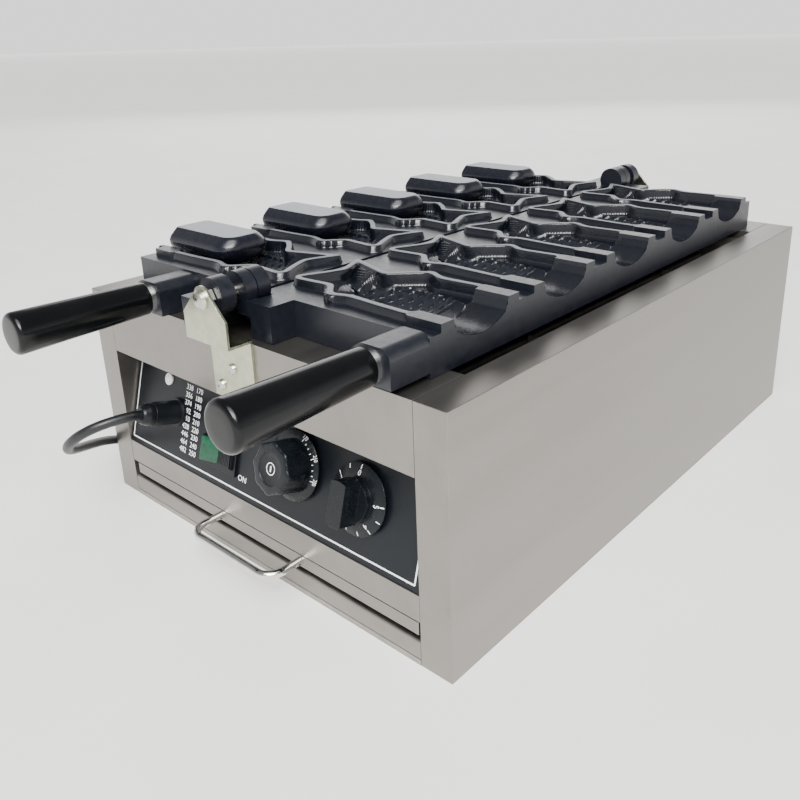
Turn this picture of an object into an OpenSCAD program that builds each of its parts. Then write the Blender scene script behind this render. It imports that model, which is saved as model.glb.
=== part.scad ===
// Countertop taiyaki maker with five open-mouth fish moulds, lying open.
// Lengths in millimetres. +Z is up, -Y is the front with the controls, and the hinge axis of both
// plates runs along Y over the middle of the case. The origin is under the middle of the machine.

/* [Case] */
// Width over both side panels
case_w = 400; // [390:1:430]
// Depth from the front face to the rear face
case_d = 564; // [556:1:590]
// Height to the top flanges
case_h = 192; // [188:1:215]
// Width of each side panel's top and front flange
flange_w = 26.4; // [22:0.1:28]
// Height of the lip folded down inside each top flange
lip_drop = 40; // [30:1:44]
// Thickness of the sheet steel
sheet = 1.2; // [0.8:0.1:1.5]
// Depth of the ledges that the plates' ends rest on
ledge_d = 48; // [44:1:54]

/* [Front] */
// Height of the upper strip's lower edge
upper_strip_z = 140.5; // [134:0.5:146]
// Length of the folded edges that stiffen the strips
fold_l = 16; // [12:1:20]
// How far the black panel's upper edge lies behind the front face
panel_recess = 25; // [18:0.5:30]
// Height of the black panel's lower edge
panel_z = 55.2; // [52:0.1:58]
// Thickness of the black panel
panel_t = 1.5; // [1:0.1:2]
// Height of the lower strip's lower edge
lower_strip_z = 34.3; // [34.2:0.1:38]
// Height of the rail under the drawer
rail_h = 19; // [16:0.5:21]
// Height of the base pan's front edge
pan_edge_h = 4.5; // [3:0.5:8]

/* [Heating] */
// Distance of the heating chamber's end walls from the front and rear faces
chamber_inset = 58; // [56:1:66]
// Depth of the heating chamber under the top of the case
chamber_drop = 46; // [44.5:0.5:50]
// Width of the ledges round the chamber's open middle
chamber_ledge = 38; // [24:1:44]
// Diameter of the heater tubes
heater_d = 8.5; // [6.5:0.5:10]
// Spacing of a heater's runs
heater_pitch = 34; // [28:1:36]
// Depth of the heaters' axes under the top of the case
heater_drop = 24; // [20:1:30]

/* [Moulding plates] */
// Distance from the case's front and rear faces to the plates' ends
plate_margin = 29; // [28.6:0.1:34]
// Distance of a plate's outer side from the hinge axis
plate_reach = 162.7; // [160:0.1:166]
// Distance of a plate's inner edge from the hinge axis
plate_root = 2.5; // [1.5:0.1:4]
// Height of a plate's floor over its underside
plate_t = 27.2; // [25:0.1:30]
// Height of the mould rims over the floor
rim_h = 5.8; // [4:0.1:8]
// Half of the gap left between the rims of the closed plates
parting_gap = 0.2; // [0.2:0.1:0.6]
// Number of moulds in each plate
fish_count = 5; // [3:1:5]
// Plain strip at both ends of the row of moulds
mould_margin = 2; // [0:0.5:6]
// Width of a rim
rim_w = 4.5; // [3:0.1:5]
// Depth of the fins and the tail under the parting plane
fin_depth = 12; // [9:0.5:14]
// Depth of the belly under the parting plane
belly_depth = 20.3; // [18:0.1:21]
// Half width of the mouth between its lips
mouth_half = 29.1; // [27:0.1:30]
// Depth of the mouth's floor under the parting plane
mouth_depth = 17.3; // [15.5:0.1:18]
// Width of the flat lands beside the mouth
land_w = 12; // [9:0.5:12.5]
// How far the left plate's lands end short of its outer side
left_land_setback = 6.5; // [4:0.1:8]

/* [Mouth plugs] */
// Distance of a plug's outer end from the hinge axis
plug_reach = 161; // [158:0.5:162]
// Length of a plug
plug_l = 91; // [80:1:94]
// Half width of a plug at its widest
plug_half = 25; // [22:0.5:25]
// Radius of a plug's rounded nose
nose_r = 17; // [12:1:20]
// How far the flat top of a plug is set back from its nose
crown_back = 25; // [18:1:30]
// Half width of the flat top of a plug
crown_half = 17; // [12:1:19]
// Length of the foot that fills the outer end of the mouth
foot_l = 13; // [12:0.5:14]
// Height of a plug's flat top over the parting plane
plug_rise = 13.2; // [10:0.1:13.5]

/* [Hinges] */
// Radius of the hinge knuckles
knuckle_r = 13.7; // [11:0.1:13.7]
// Diameter of the pivot bolts
bolt_d = 8; // [6:0.5:9]
// Radial clearance of the pivot bolts in the knuckles
bolt_play = 0.06; // [0.03:0.01:0.1]
// Distance from the case to the hinge bracket's outer face
bracket_out = 20.5; // [18:0.5:24]
// Thickness of the brackets
bracket_t = 2; // [1.5:0.1:2.5]
// Half width of the brackets
bracket_half = 24.3; // [20:0.1:28]
// Distance of the left plate's first knuckle from the case's face
first_knuckle = 13.3; // [13:0.1:13.6]
// Length of the left plate's first knuckle
first_length = 12; // [9:0.1:14]
// How far the right plate's knuckle lies behind the case's face
middle_start = 7.2; // [5:0.1:7.6]
// Length of the right plate's knuckle
middle_knuckle = 9.4; // [8:0.1:10]
// Gap between the right plate's knuckle and the one behind it
knuckle_gap = 0.9; // [0.5:0.1:1.5]
// Distance from the hinge axis to the outer side of the hinge blocks
block_reach = 37; // [32:0.5:44]

/* [Handles] */
// Length from the case's face to the end of the grips
grip_reach = 110; // [100:1:130]
// Diameter of a grip at the plate
grip_d1 = 25.6; // [22:0.1:28]
// Diameter of a grip at its end
grip_d2 = 31; // [26:0.1:32]
// Diameter of the handle rods
rod_d = 10; // [8:0.5:12]
// Height of the right handle under the hinge axis
right_handle_drop = 17.5; // [17:0.1:19]
// Height of the left handle under the hinge axis
left_handle_drop = 21.5; // [20:0.1:21.5]
// Distance of the left handle from the hinge axis
left_handle_x = 99; // [95:0.1:104]
// Distance from a handle's axis to the square side of its lug
lug_reach = 19.8; // [18:0.1:21]
// Radius of a lug's round side about the handle's axis
lug_r = 14.2; // [13.5:0.1:15]

/* [Drawer] */
// Width of the drawer
tray_w = 338.6; // [330:0.1:340]
// How far the drawer sits to the right of the middle
tray_shift = 2.8; // [0:0.1:3]
// Length of the drawer
tray_l = 480; // [400:1:490]
// Height of the drawer's front
tray_h = 10.1; // [8:0.1:10.3]
// Height of the drawer's underside
tray_z = 23.7; // [23:0.1:23.8]
// Sheet thickness of the drawer
tray_t = 1; // [0.8:0.1:1.2]
// Distance between the two legs of the wire handle
wire_span = 96.7; // [80:0.1:120]
// Diameter of the wire handle
wire_d = 6; // [4:0.5:6.5]
// How far the wire handle stands out
wire_out = 33; // [28:1:40]
// Place of the wire handle right of the middle
wire_x = 8.3; // [0:0.1:10]
// Bend radius of the wire handle
wire_bend = 13; // [8:1:18]

/* [Controls] */
// Place of the temperature control right of the middle
temp_x = 45; // [40:1:50]
// Height of the temperature control up the panel
temp_t = 46; // [42:1:48]
// Radius of the temperature dial
dial_r = 26.5; // [24:0.5:28]
// Radius of the lobed knob
lobe_r = 20.5; // [18:0.5:21]
// Distance of the timer from the panel's right edge
timer_inset = 61.3; // [58:0.1:65]
// Height of the timer up the panel
timer_t = 43.5; // [40:0.5:46]
// Radius of the timer's skirt
timer_r = 25.5; // [22:0.5:27]
// Length of the timer's bar grip
timer_bar = 29; // [26:1:34]
// Diameter of both control shafts
shaft_d = 6; // [5:0.5:7]
// Place of the rocker switch right of the middle
switch_x = -43; // [-48:1:-40]
// Height of the rocker switch up the panel
switch_t = 29; // [26:1:32]
// Width of the switch bezel
bezel_w = 42; // [38:1:44]
// Height of the switch bezel
bezel_h = 30; // [26:1:32]
// Angle between the rocker's two positions
rocker_throw = 20; // [14:1:22]
// Distance of the indicator lamp from the panel's left edge
lamp_inset = 47.8; // [44:0.1:52]
// Height of the lamp up the panel
lamp_t = 67; // [64:1:72]
// Diameter of the lamp's rim
lamp_d = 10; // [8:0.5:12]
// Distance of the cable gland from the panel's left edge
gland_inset = 65.3; // [61:0.1:67]
// Height of the cable gland up the panel
gland_t = 43; // [40:1:46]
// Diameter of the cable gland
gland_d = 20; // [18:0.5:22]
// How far the gland stands out of the panel
gland_out = 36; // [35:0.5:37]
// Diameter of the mains lead
cord_d = 8.2; // [7:0.1:8.4]

/* [Hidden] */
$fn = 64;

// Clearances
seam = 0.3;          // between neighbouring sheet parts
seat_gap = 0.3;      // under a part that rests and can be lifted off
fit = 0.1;           // round a part that is held still in its hole
running = 0.06;      // round a shaft that turns
cut = 1;             // how far a cutting shape runs past a surface

// Levels and reaches that several parts share
inner_x = case_w / 2 - flange_w;                  // inner side of the side panels' flanges
fill_x = inner_x - seam;                          // half width of what fits between them
plate_z = case_h + seat_gap;                      // underside of the plates
floor_z = plate_z + plate_t;                      // floor between the moulds
rim_z = floor_z + rim_h;                          // top of the rims, the parting plane
hinge_z = rim_z + parting_gap;
plate_y0 = plate_margin;                          // front end of the plates
plate_y1 = case_d - plate_margin;
plate_l = plate_y1 - plate_y0;
fish_pitch = (plate_l - 2 * mould_margin) / fish_count;
heater_z = case_h - heater_drop;
chamber_z = case_h - chamber_drop;
lamp_x = -fill_x + lamp_inset;
gland_x = -fill_x + gland_inset;
timer_x = fill_x - timer_inset;
bolt_head_h = 4;
bolt_head_r = bolt_d * 0.9;
back_reach = case_d + bracket_out + bolt_head_h;  // rearmost point
y_shift = (grip_reach - back_reach) / 2;          // puts the origin under the middle
right_handle = [plate_reach - lug_reach, hinge_z - right_handle_drop];    // X and Z of the handles
left_handle = [left_handle_x, hinge_z - left_handle_drop];
lug_front = 6;                                    // how far a lug stands out of the case's front
block_gap = 0.8;                                  // between a knuckle and the other plate's block
panel_y0 = 1;                                     // the black panel's lower edge behind the face
panel_top = upper_strip_z - seam;
panel_tilt = atan((panel_recess - panel_y0) / (panel_top - panel_z));

// Folded sheet: a line of points in section, given its thickness to the left with mitred folds
function unit(v) = v / norm(v);
function left_of(v) = [-v[1], v[0]];
function mitred(p, i, t) =
    let (n = len(p) - 1,
         a = left_of(unit(p[min(i + 1, n)] - p[min(i, n - 1)])),
         b = left_of(unit(p[max(i, 1)] - p[max(i - 1, 0)])))
    p[i] + t * (a + b) / (1 + a * b);
function folded(p, t) = concat(p, [for (i = [len(p) - 1:-1:0]) mitred(p, i, t)]);

// A closed outline set off to the left of its direction of travel by d
function set_off(p, d) =
    [for (i = [0:len(p) - 1])
        let (n = len(p),
             a = left_of(unit(p[(i + 1) % n] - p[i])),
             b = left_of(unit(p[i] - p[(i + n - 1) % n])))
        p[i] + d * (a + b) / (1 + a * b)];

// A closed outline with each corner replaced by a short curve of steps + 1 points
function eased(p, reach, steps) =
    [for (i = [0:len(p) - 1])
        let (n = len(p),
             back = p[(i + n - 1) % n] - p[i],
             on = p[(i + 1) % n] - p[i],
             a = p[i] + unit(back) * min(reach, norm(back) * 0.4),
             b = p[i] + unit(on) * min(reach, norm(on) * 0.4))
        for (k = [0:steps])
            let (f = k / steps)
            a * (1 - f) * (1 - f) + p[i] * 2 * f * (1 - f) + b * f * f];

// Section in Y and Z carried along X, and section in X and Z carried along Y
module along_x(x0, x1) { translate([x0, 0, 0]) rotate([90, 0, 90]) linear_extrude(x1 - x0) children(); }
module along_y(y0, y1) { translate([0, y1, 0]) rotate([90, 0, 0]) linear_extrude(y1 - y0) children(); }
module block(low, high) { translate(low) cube(high - low); }
module bar_x(x0, x1, r) { translate([x0, 0, 0]) rotate([0, 90, 0]) cylinder(r = r, h = x1 - x0); }
module bar_y(y0, y1, r) { translate([0, y1, 0]) rotate([90, 0, 0]) cylinder(r = r, h = y1 - y0); }
module placed(tint) { color(tint) translate([0, y_shift, 0]) children(); }
module at_rear() { translate([0, case_d, 0]) mirror([0, 1, 0]) children(); }
module both_ends() { children(); at_rear() children(); }

// A place on the black panel: local X to the right, Y up the slope, Z out of the panel
module on_panel(x, t) {
    translate([x, panel_y0 + t * sin(panel_tilt), panel_z + t * cos(panel_tilt)])
        rotate([90 - panel_tilt, 0, 0]) children();
}
function panel_point(x, t, out) =
    [x, panel_y0 + t * sin(panel_tilt) - out * cos(panel_tilt),
     panel_z + t * cos(panel_tilt) + out * sin(panel_tilt)];

// CASE

module base_pan() {
    back = case_d - sheet - seam;
    edge = 20;
    placed("#8f8b86") along_x(-fill_x, fill_x)
        polygon(folded([[0, pan_edge_h], [0, 0], [back, 0], [back, edge]], sheet));
}

// Outer skin with top, front, rear and bottom flanges and the lips that close the double wall
module side_panel() {
    outer_x = case_w / 2;
    lip_z = case_h - lip_drop;
    front_lip = panel_recess + 4;
    section = [[inner_x, 0], [outer_x, 0], [outer_x, case_h], [inner_x, case_h], [inner_x, lip_z]];
    union() {
        along_y(0, case_d) polygon(folded(section, sheet));
        both_ends() {
            block([inner_x, 0, 0], [outer_x, sheet, case_h]);
            block([inner_x, 0, 0], [inner_x + sheet, front_lip, case_h]);
        }
    }
}
module right_side_panel() { placed("#b3ada6") side_panel(); }
module left_side_panel() { placed("#b3ada6") mirror([1, 0, 0]) side_panel(); }

bracket_screw_places = [[0, 27.5], [-15, 11.5], [15, 11.5]];  // X, and height over the strip's edge
screw_r = 2;
module bracket_screw_holes(r) {
    for (s = bracket_screw_places)
        translate([s[0], 0, upper_strip_z + s[1]]) bar_y(-10, 10, r);
}

// Strip over the controls: its top folds back as the ledge for the plates
module front_upper_panel() {
    hem = 12;
    shelf = panel_recess + 10;
    placed("#b3ada6") difference() {
        along_x(-fill_x, fill_x)
            polygon(folded([[ledge_d, case_h - hem], [ledge_d, case_h], [0, case_h],
                            [0, upper_strip_z], [shelf, upper_strip_z]], sheet));
        bracket_screw_holes(screw_r + fit);
    }
}

module control_panel() {
    placed("#23262b") difference() {
        along_x(-fill_x, fill_x)
            polygon(folded([[panel_recess + fold_l, panel_top], [panel_recess, panel_top],
                            [panel_y0, panel_z], [panel_y0 + fold_l, panel_z]], panel_t));
        on_panel(temp_x, temp_t) panel_hole(bush_r + fit);
        on_panel(timer_x, timer_t) panel_hole(bush_r + fit);
        on_panel(gland_x, gland_t) panel_hole(gland_thread_r + fit);
        on_panel(lamp_x, lamp_t) panel_hole(lamp_body_r + fit);
        on_panel(switch_x, switch_t)
            translate([0, 0, -5]) linear_extrude(10)
                square([switch_body_w + 2 * fit, switch_body_h + 2 * fit], center = true);
    }
}
module panel_hole(r) { translate([0, 0, -5]) cylinder(r = r, h = 10); }

module lower_front_strip() {
    top = panel_z - seam;
    placed("#b3ada6") along_x(-fill_x, fill_x)
        polygon(folded([[fold_l, top], [0, top], [0, lower_strip_z],
                        [fold_l / 2, lower_strip_z]], sheet));
}

module base_front_rail() {
    foot = pan_edge_h + seam;
    round_r = 2 * sheet;
    placed("#b3ada6") along_x(-fill_x, fill_x)
        polygon(folded([[fold_l, rail_h], [round_r, rail_h], [round_r * 0.3, rail_h - round_r * 0.3],
                        [0, rail_h - round_r], [0, foot]], sheet));
}

module rear_panel() {
    hem = 12;
    placed("#b3ada6") difference() {
        along_x(-fill_x, fill_x)
            polygon(folded([[case_d, 0], [case_d, case_h], [case_d - ledge_d, case_h],
                            [case_d - ledge_d, case_h - hem]], sheet));
        at_rear() bracket_screw_holes(screw_r + fit);
    }
}

// INSIDE

heater_runs = 4;
heater_first = 32;   // distance of a heater's first run from the hinge axis
function heater_x(k) = heater_first + k * heater_pitch;
bulb_x = heater_x(0) + heater_pitch / 2;
bulb_r = 3.5;
wall_margin = case_h - 6;

// Walls and ledges round the chamber: what falls through its open middle lands in the drawer
module heat_shield() {
    side_top = case_h - 12;
    y0 = chamber_inset;
    y1 = case_d - chamber_inset;
    placed("#9a9690") difference() {
        block([-fill_x, y0, chamber_z], [fill_x, y1, wall_margin]);
        block([-fill_x + sheet, y0 + sheet, chamber_z + sheet],
              [fill_x - sheet, y1 - sheet, wall_margin + cut]);
        block([-fill_x + chamber_ledge, y0 + chamber_ledge, chamber_z - cut],
              [fill_x - chamber_ledge, y1 - chamber_ledge, chamber_z + 2 * cut]);
        for (s = [-1, 1])
            translate([s * (fill_x - sheet / 2), 0, 0])
                block([-sheet, y0 + sheet, side_top], [sheet, y1 - sheet, wall_margin + cut]);
        for (s = [-1, 1], k = [0, heater_runs - 1])
            translate([s * heater_x(k), 0, heater_z])
                bar_y(y0 - cut, y0 + 2 * cut + sheet, heater_d / 2 + fit);
        translate([bulb_x, 0, heater_z]) bar_y(y0 - cut, y0 + 2 * cut + sheet, capillary_r + fit);
    }
}

// Upright sheet that keeps the heat and the crumbs away from the controls
bulkhead_y = chamber_inset + 22;
module control_bulkhead() {
    foot = tray_z + tray_h + 4;
    tab = 12;
    top = chamber_z - seam;
    placed("#9a9690") along_x(-fill_x, fill_x)
        polygon(folded([[bulkhead_y + tab, top], [bulkhead_y, top], [bulkhead_y, foot],
                        [bulkhead_y + tab, foot]], sheet));
}

// Tubular heater bent into an M: runs along Y joined by half rings, tails through the front wall
module heating_element() {
    r = heater_d / 2;
    bend = heater_pitch / 2;
    far = case_d - chamber_inset - sheet - 12 - bend;
    near = chamber_inset + sheet + 12 + bend;
    tail = chamber_inset - 14;
    pin_l = 10;
    pin_r = 2;
    translate([0, 0, heater_z]) union() {
        for (k = [0:heater_runs - 1])
            translate([heater_x(k), 0, 0])
                bar_y(k == 0 || k == heater_runs - 1 ? tail : near, far, r);
        for (k = [0, 2])
            translate([heater_x(k) + bend, far, 0])
                rotate_extrude(angle = 180) translate([bend, 0]) circle(r);
        translate([heater_x(1) + bend, near, 0])
            rotate([0, 0, 180]) rotate_extrude(angle = 180) translate([bend, 0]) circle(r);
        for (k = [0, heater_runs - 1])
            translate([heater_x(k), 0, 0]) bar_y(tail - pin_l, tail, pin_r);
    }
}
module right_heating_element() { placed("#6f6a66") heating_element(); }
module left_heating_element() { placed("#6f6a66") mirror([1, 0, 0]) heating_element(); }

// Two cross bars standing on the chamber's ledges, notched for the heaters' runs
module element_supports() {
    bar_t = 1.5;
    inset = 170;
    foot = chamber_z + sheet;
    top = heater_z + heater_d / 2 + 2;
    span = fill_x - sheet - seam;
    placed("#8a8681") both_ends() difference() {
        block([-span, inset, foot], [span, inset + bar_t, top]);
        for (s = [-1, 1], k = [0:heater_runs - 1])
            translate([s * heater_x(k), 0, heater_z]) notch(heater_d / 2 + fit, inset, bar_t, top);
        translate([bulb_x, 0, heater_z]) notch(bulb_r + fit, inset, bar_t, top);
    }
}
module notch(r, y, t, top) {
    bar_y(y - cut, y + t + cut, r);
    block([-r, y - cut, 0], [r, y + t + cut, top - heater_z + cut]);
}

bush_r = 4.8;        // threaded bushes of thermostat and timer
bush_out = 2.5;      // how far they stand out of the panel
shaft_in = 12;       // how far the shafts reach in behind the panel
module shaft_hole() {
    translate([0, 0, -shaft_in - 1]) cylinder(d = shaft_d + 2 * running, h = shaft_in + bush_out + 2);
}

thermostat_deep = 30;
module thermostat_body() {
    can_r = 21;
    can_deep = 18;
    placed("#c9c6c0") on_panel(temp_x, temp_t) difference() {
        union() {
            translate([0, 0, -panel_t - can_deep]) cylinder(r = can_r, h = can_deep);
            translate([0, 0, -thermostat_deep]) cylinder(r = 9, h = thermostat_deep - can_deep);
            translate([0, 0, -panel_t - cut]) cylinder(r = bush_r, h = panel_t + cut + bush_out);
            translate([-22, -6, -panel_t - 4]) cube([44, 12, 3]);
        }
        shaft_hole();
    }
}

// Sensing bulb lying in the supports, and its capillary down to the thermostat
capillary_r = 1.2;
module thermostat_bulb() {
    bend = 8;
    bulb_y = 110;
    bulb_l = 90;
    turn_y = panel_recess + fold_l + 2.3;
    low = panel_point(temp_x, temp_t, -thermostat_deep)[2] + 5;
    placed("#c08a5a") translate([bulb_x, 0, 0]) union() {
        translate([0, 0, heater_z]) {
            bar_y(bulb_y, bulb_y + bulb_l, bulb_r);
            bar_y(turn_y + bend, bulb_y + cut, capillary_r);
        }
        translate([0, turn_y + bend, heater_z - bend]) rotate([90, 0, 90]) rotate([0, 0, 90])
            rotate_extrude(angle = 90) translate([bend, 0]) circle(capillary_r);
        translate([0, turn_y, low]) cylinder(r = capillary_r, h = heater_z - bend - low);
    }
}

timer_box_w = 44;
timer_deep = 30;
module timer_body() {
    w = timer_box_w;
    placed("#d8d5cf") on_panel(timer_x, timer_t) difference() {
        union() {
            translate([-w / 2, -w / 2, -panel_t - timer_deep]) cube([w, w, timer_deep]);
            translate([0, 0, -panel_t - cut]) cylinder(r = bush_r, h = panel_t + cut + bush_out);
        }
        shaft_hole();
    }
}

switch_wall = 3;
switch_body_w = bezel_w - 3;
switch_body_h = bezel_h - 3;
rocker_half = bezel_w / 2 - 3.1;      // radius of the rocker's ends about its pivot
rocker_h = switch_body_h - 2 * switch_wall - 0.6;
rocker_deep = 6;
rocker_pin_r = 1.5;
// Housing with its bezel, open where the rocker tilts
module switch_body() {
    well_deep = rocker_deep + rocker_half * sin(rocker_throw / 2) + 1;
    well_half = rocker_half + 0.6;
    deep = 24;
    placed("#1b1c1e") on_panel(switch_x, switch_t) difference() {
        union() {
            linear_extrude(2.5) square([bezel_w, bezel_h], center = true);
            translate([0, 0, -deep]) linear_extrude(deep + cut)
                square([switch_body_w, switch_body_h], center = true);
        }
        translate([-well_half, -rocker_h / 2 - 0.3, -well_deep])
            cube([2 * well_half, rocker_h + 0.6, well_deep + 5]);
        rotate([90, 0, 0]) translate([0, 0, -rocker_h / 2 - 1.5])
            cylinder(r = rocker_pin_r + running, h = rocker_h + 3);
    }
}

lamp_body_r = 4;
module indicator_lamp() {
    placed("#e8e8e4") on_panel(lamp_x, lamp_t) union() {
        cylinder(d = lamp_d, h = 1.5);
        translate([0, 0, -14]) cylinder(r = lamp_body_r, h = 15);
        intersection() {
            translate([0, 0, -lamp_d * 0.4]) sphere(d = lamp_d * 1.3);
            cylinder(d = lamp_d - 1.6, h = lamp_d);
        }
    }
}

module terminal_block() {
    w = 48;
    deep = 20;
    h = 18;
    x0 = lamp_x - 5;
    z0 = 62;
    placed("#e2dccb") difference() {
        block([x0, bulkhead_y - deep, z0], [x0 + w, bulkhead_y, z0 + h]);
        for (k = [0:2]) {
            translate([x0 + 8 + k * 16, bulkhead_y - deep - cut, z0 + h / 2]) rotate([-90, 0, 0])
                cylinder(r = 2.4, h = 8 + cut);
            translate([x0 + 3 + k * 16, bulkhead_y - deep - cut, z0 - cut]) cube([10, 6 + cut, 5 + cut]);
        }
    }
}

// Gland that holds the mains lead: threaded body, clamping nut outside, locknut behind the panel
gland_thread_r = 7.8;
gland_nut_l = 10;
module cable_gland() {
    placed("#151618") on_panel(gland_x, gland_t) union() {
        cylinder(d = gland_d + 4, h = 3);
        cylinder(d = gland_d, h = gland_out - gland_nut_l);
        translate([0, 0, -panel_t - 9]) cylinder(r = gland_thread_r, h = panel_t + 9 + cut);
    }
}
module gland_nut() {
    low = gland_out - gland_nut_l;
    placed("#151618") on_panel(gland_x, gland_t) rotate_extrude()
        polygon([[0, low], [gland_d / 2 - 0.8, low], [gland_d / 2 - 0.8, low + 4],
                 [gland_d / 2 - 2.2, gland_out - 2], [gland_d / 2 - 3.6, gland_out], [0, gland_out]]);
}
module gland_locknut() {
    placed("#151618") on_panel(gland_x, gland_t) translate([0, 0, -panel_t - 5]) difference() {
        cylinder(r = 13, h = 5, $fn = 6);
        translate([0, 0, -cut]) cylinder(r = gland_thread_r + 0.02, h = 5 + 2 * cut);
    }
}

// Channel rails on the base pan that the drawer's edges slide on
module tray_runners() {
    arm = 14;
    low = sheet;
    high = tray_z - seat_gap;
    x = fill_x - seam;
    section = [[x - arm, low], [x, low], [x, high], [x - arm, high]];
    placed("#9a9690") for (side = [0, 1]) mirror([side, 0, 0])
        along_y(20, 20 + tray_l) polygon(folded(section, sheet));
}

// HINGES

knuckle1 = [-first_knuckle, -first_knuckle + first_length];
knuckle2 = [middle_start, middle_start + middle_knuckle];
knuckle3 = [knuckle2[1] + knuckle_gap, plate_y0 - 0.5];
bore_end = knuckle3[1] - 3.2;         // the last knuckle's bore is blind
bolt_end = bore_end - 0.5;
nut_l = 4.5;

// Z bracket: a tab screwed to the case, a ledge, and a tongue that rises to the pivot
module hinge_bracket() {
    foot = upper_strip_z + 2;
    fold_z = case_h + 3;
    shoulder = case_h + 21;
    tip_r = bolt_d / 2 + 5.5;
    back = -bracket_out + bracket_t;
    placed("#c6cbb9") difference() {
        intersection() {
            along_x(-bracket_half, bracket_half)
                polygon(folded([[0, foot], [0, fold_z], [back, fold_z], [back, hinge_z + 20]],
                               bracket_t));
            along_y(-bracket_out - cut, cut) union() {
                polygon([[-bracket_half, foot], [bracket_half, foot], [bracket_half, shoulder],
                         [tip_r * 0.9, hinge_z + tip_r * 0.4], [-tip_r * 0.9, hinge_z + tip_r * 0.4],
                         [-bracket_half, shoulder]]);
                translate([0, hinge_z]) circle(tip_r);
            }
        }
        bracket_screw_holes(screw_r + fit);
        translate([0, 0, hinge_z]) bar_y(-bracket_out - cut, 0, bolt_d / 2 + 0.02);
    }
}
module front_hinge_bracket() { hinge_bracket(); }
module rear_hinge_bracket() {
    translate([0, y_shift, 0]) at_rear() translate([0, -y_shift, 0]) hinge_bracket();
}

module bracket_screws() {
    placed("#d9d6cc") both_ends() for (s = bracket_screw_places)
        translate([s[0], 0, upper_strip_z + s[1]]) rotate([90, 0, 0]) rotate_extrude()
            polygon([[0, -6], [screw_r, -6], [screw_r, bracket_t], [4.2, bracket_t],
                     [4.2, bracket_t + 0.8], [3.2, bracket_t + 2.1], [0, bracket_t + 2.6]]);
}

module pivot_bolt() {
    shank = bolt_d / 2;
    head = bolt_head_r;
    translate([0, 0, hinge_z]) rotate([90, 0, 0]) rotate_extrude()
        polygon([[0, -bolt_end], [shank - 0.6, -bolt_end], [shank, -bolt_end + 0.6],
                 [shank, bracket_out], [head, bracket_out], [head, bracket_out + 1.4],
                 [head * 0.75, bracket_out + 3.3], [0, bracket_out + bolt_head_h]]);
}
module front_pivot_bolt() { placed("#d9d6cc") pivot_bolt(); }
module rear_pivot_bolt() { placed("#d9d6cc") at_rear() pivot_bolt(); }

module pivot_nuts() {
    y0 = -bracket_out + bracket_t;
    placed("#d9d6cc") both_ends() translate([0, 0, hinge_z]) difference() {
        translate([0, y0 + nut_l, 0]) rotate([90, 0, 0])
            cylinder(r = bolt_d * 0.93, h = nut_l, $fn = 6);
        bar_y(y0 - cut, y0 + nut_l + cut, bolt_d / 2 + 0.02);
    }
}

// PLATES

// Middle line of a mould's rim, from the hinge side: X from the hinge axis, Y from the mould's middle
fish_line = [
    [12.5, 34], [23, 10], [17, -5], [8.5, -22], [12, -27], [45, -24], [60, -39.5], [75, -34],
    [104, -36], [132, -37], [136.5, -31], [136.5, 31], [134, 38], [97.5, 35.5], [82.5, 43],
    [68, 32], [56, 20]
];
land_x = 134;            // where the flat lands beside the mouth begin
corner_reach = 5;
corner_steps = 3;
rim_inside = eased(set_off(fish_line, rim_w / 2), corner_reach, corner_steps);
rim_outside = eased(set_off(fish_line, -rim_w / 2), corner_reach, corner_steps);
rim_root = 1;            // how deep the rims start in the floor
belly_x = 95;            // where the belly is deepest
belly_axis = 14;         // height of the belly's axis of revolution over the parting plane
belly_bow = 255;         // radius of the belly's long curve
belly_tail = 72;         // length of the belly towards the tail
throat_x = 112;          // where the mouth's trough starts
lip_slope = 0.35;        // how much the mouth widens per millimetre of height
function fish_y(i) = case_d / 2 + (i - (fish_count - 1) / 2) * fish_pitch;
module each_fish() { for (i = [0:fish_count - 1]) translate([0, fish_y(i), 0]) children(); }

// Raised rim and the two flat lands beside the mouth
module fish_rim(setback) {
    end = plate_reach - setback;
    translate([0, 0, floor_z - rim_root]) {
        linear_extrude(rim_h + rim_root) polygon(rim_outside);
        for (s = [-1, 1]) linear_extrude(rim_h + rim_root)
            polygon([[land_x - 4, s * (mouth_half - 1)], [end, s * (mouth_half - 1)],
                     [end, s * (mouth_half + land_w)], [land_x, s * (mouth_half + land_w)],
                     [land_x - 8, s * (mouth_half + land_w / 2)]]);
    }
}

// Fin-deep outline with the deeper belly: an arc revolved about an axis along the fish
module fish_hollow() {
    belly_r = belly_axis + belly_depth;
    translate([0, 0, rim_z - fin_depth]) linear_extrude(fin_depth + cut) polygon(rim_inside);
    intersection() {
        translate([0, 0, rim_z - belly_depth - cut]) linear_extrude(belly_depth + 2 * cut)
            polygon(rim_inside);
        translate([belly_x, 0, rim_z + belly_axis]) rotate([0, 90, 0]) rotate_extrude($fn = 96)
            intersection() {
                translate([belly_r - belly_bow, 0]) circle(belly_bow, $fn = 180);
                translate([0, -belly_tail]) square([belly_r + cut, belly_tail + 50]);
            }
    }
}

// Half-round trough that makes the open mouth: flared lips over a bowed floor
module mouth_trough(shrink) {
    lip_drop_z = 10;                       // height of the flared part
    half = mouth_half - lip_slope * lip_drop_z - shrink;
    sag = mouth_depth - lip_drop_z - shrink;
    bow = (half * half + sag * sag) / (2 * sag);
    top = mouth_half + lip_slope * cut - shrink;
    translate([0, 0, rim_z]) {
        along_x(0, plate_reach + cut - throat_x)
            polygon([[-half, -lip_drop_z - 0.01], [half, -lip_drop_z - 0.01], [top, cut], [-top, cut]]);
        intersection() {
            translate([0, 0, bow - mouth_depth + shrink]) bar_x(0, plate_reach + cut - throat_x, bow);
            block([0, -half, -mouth_depth - cut], [plate_reach + cut - throat_x, half, -lip_drop_z]);
        }
    }
}

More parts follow.
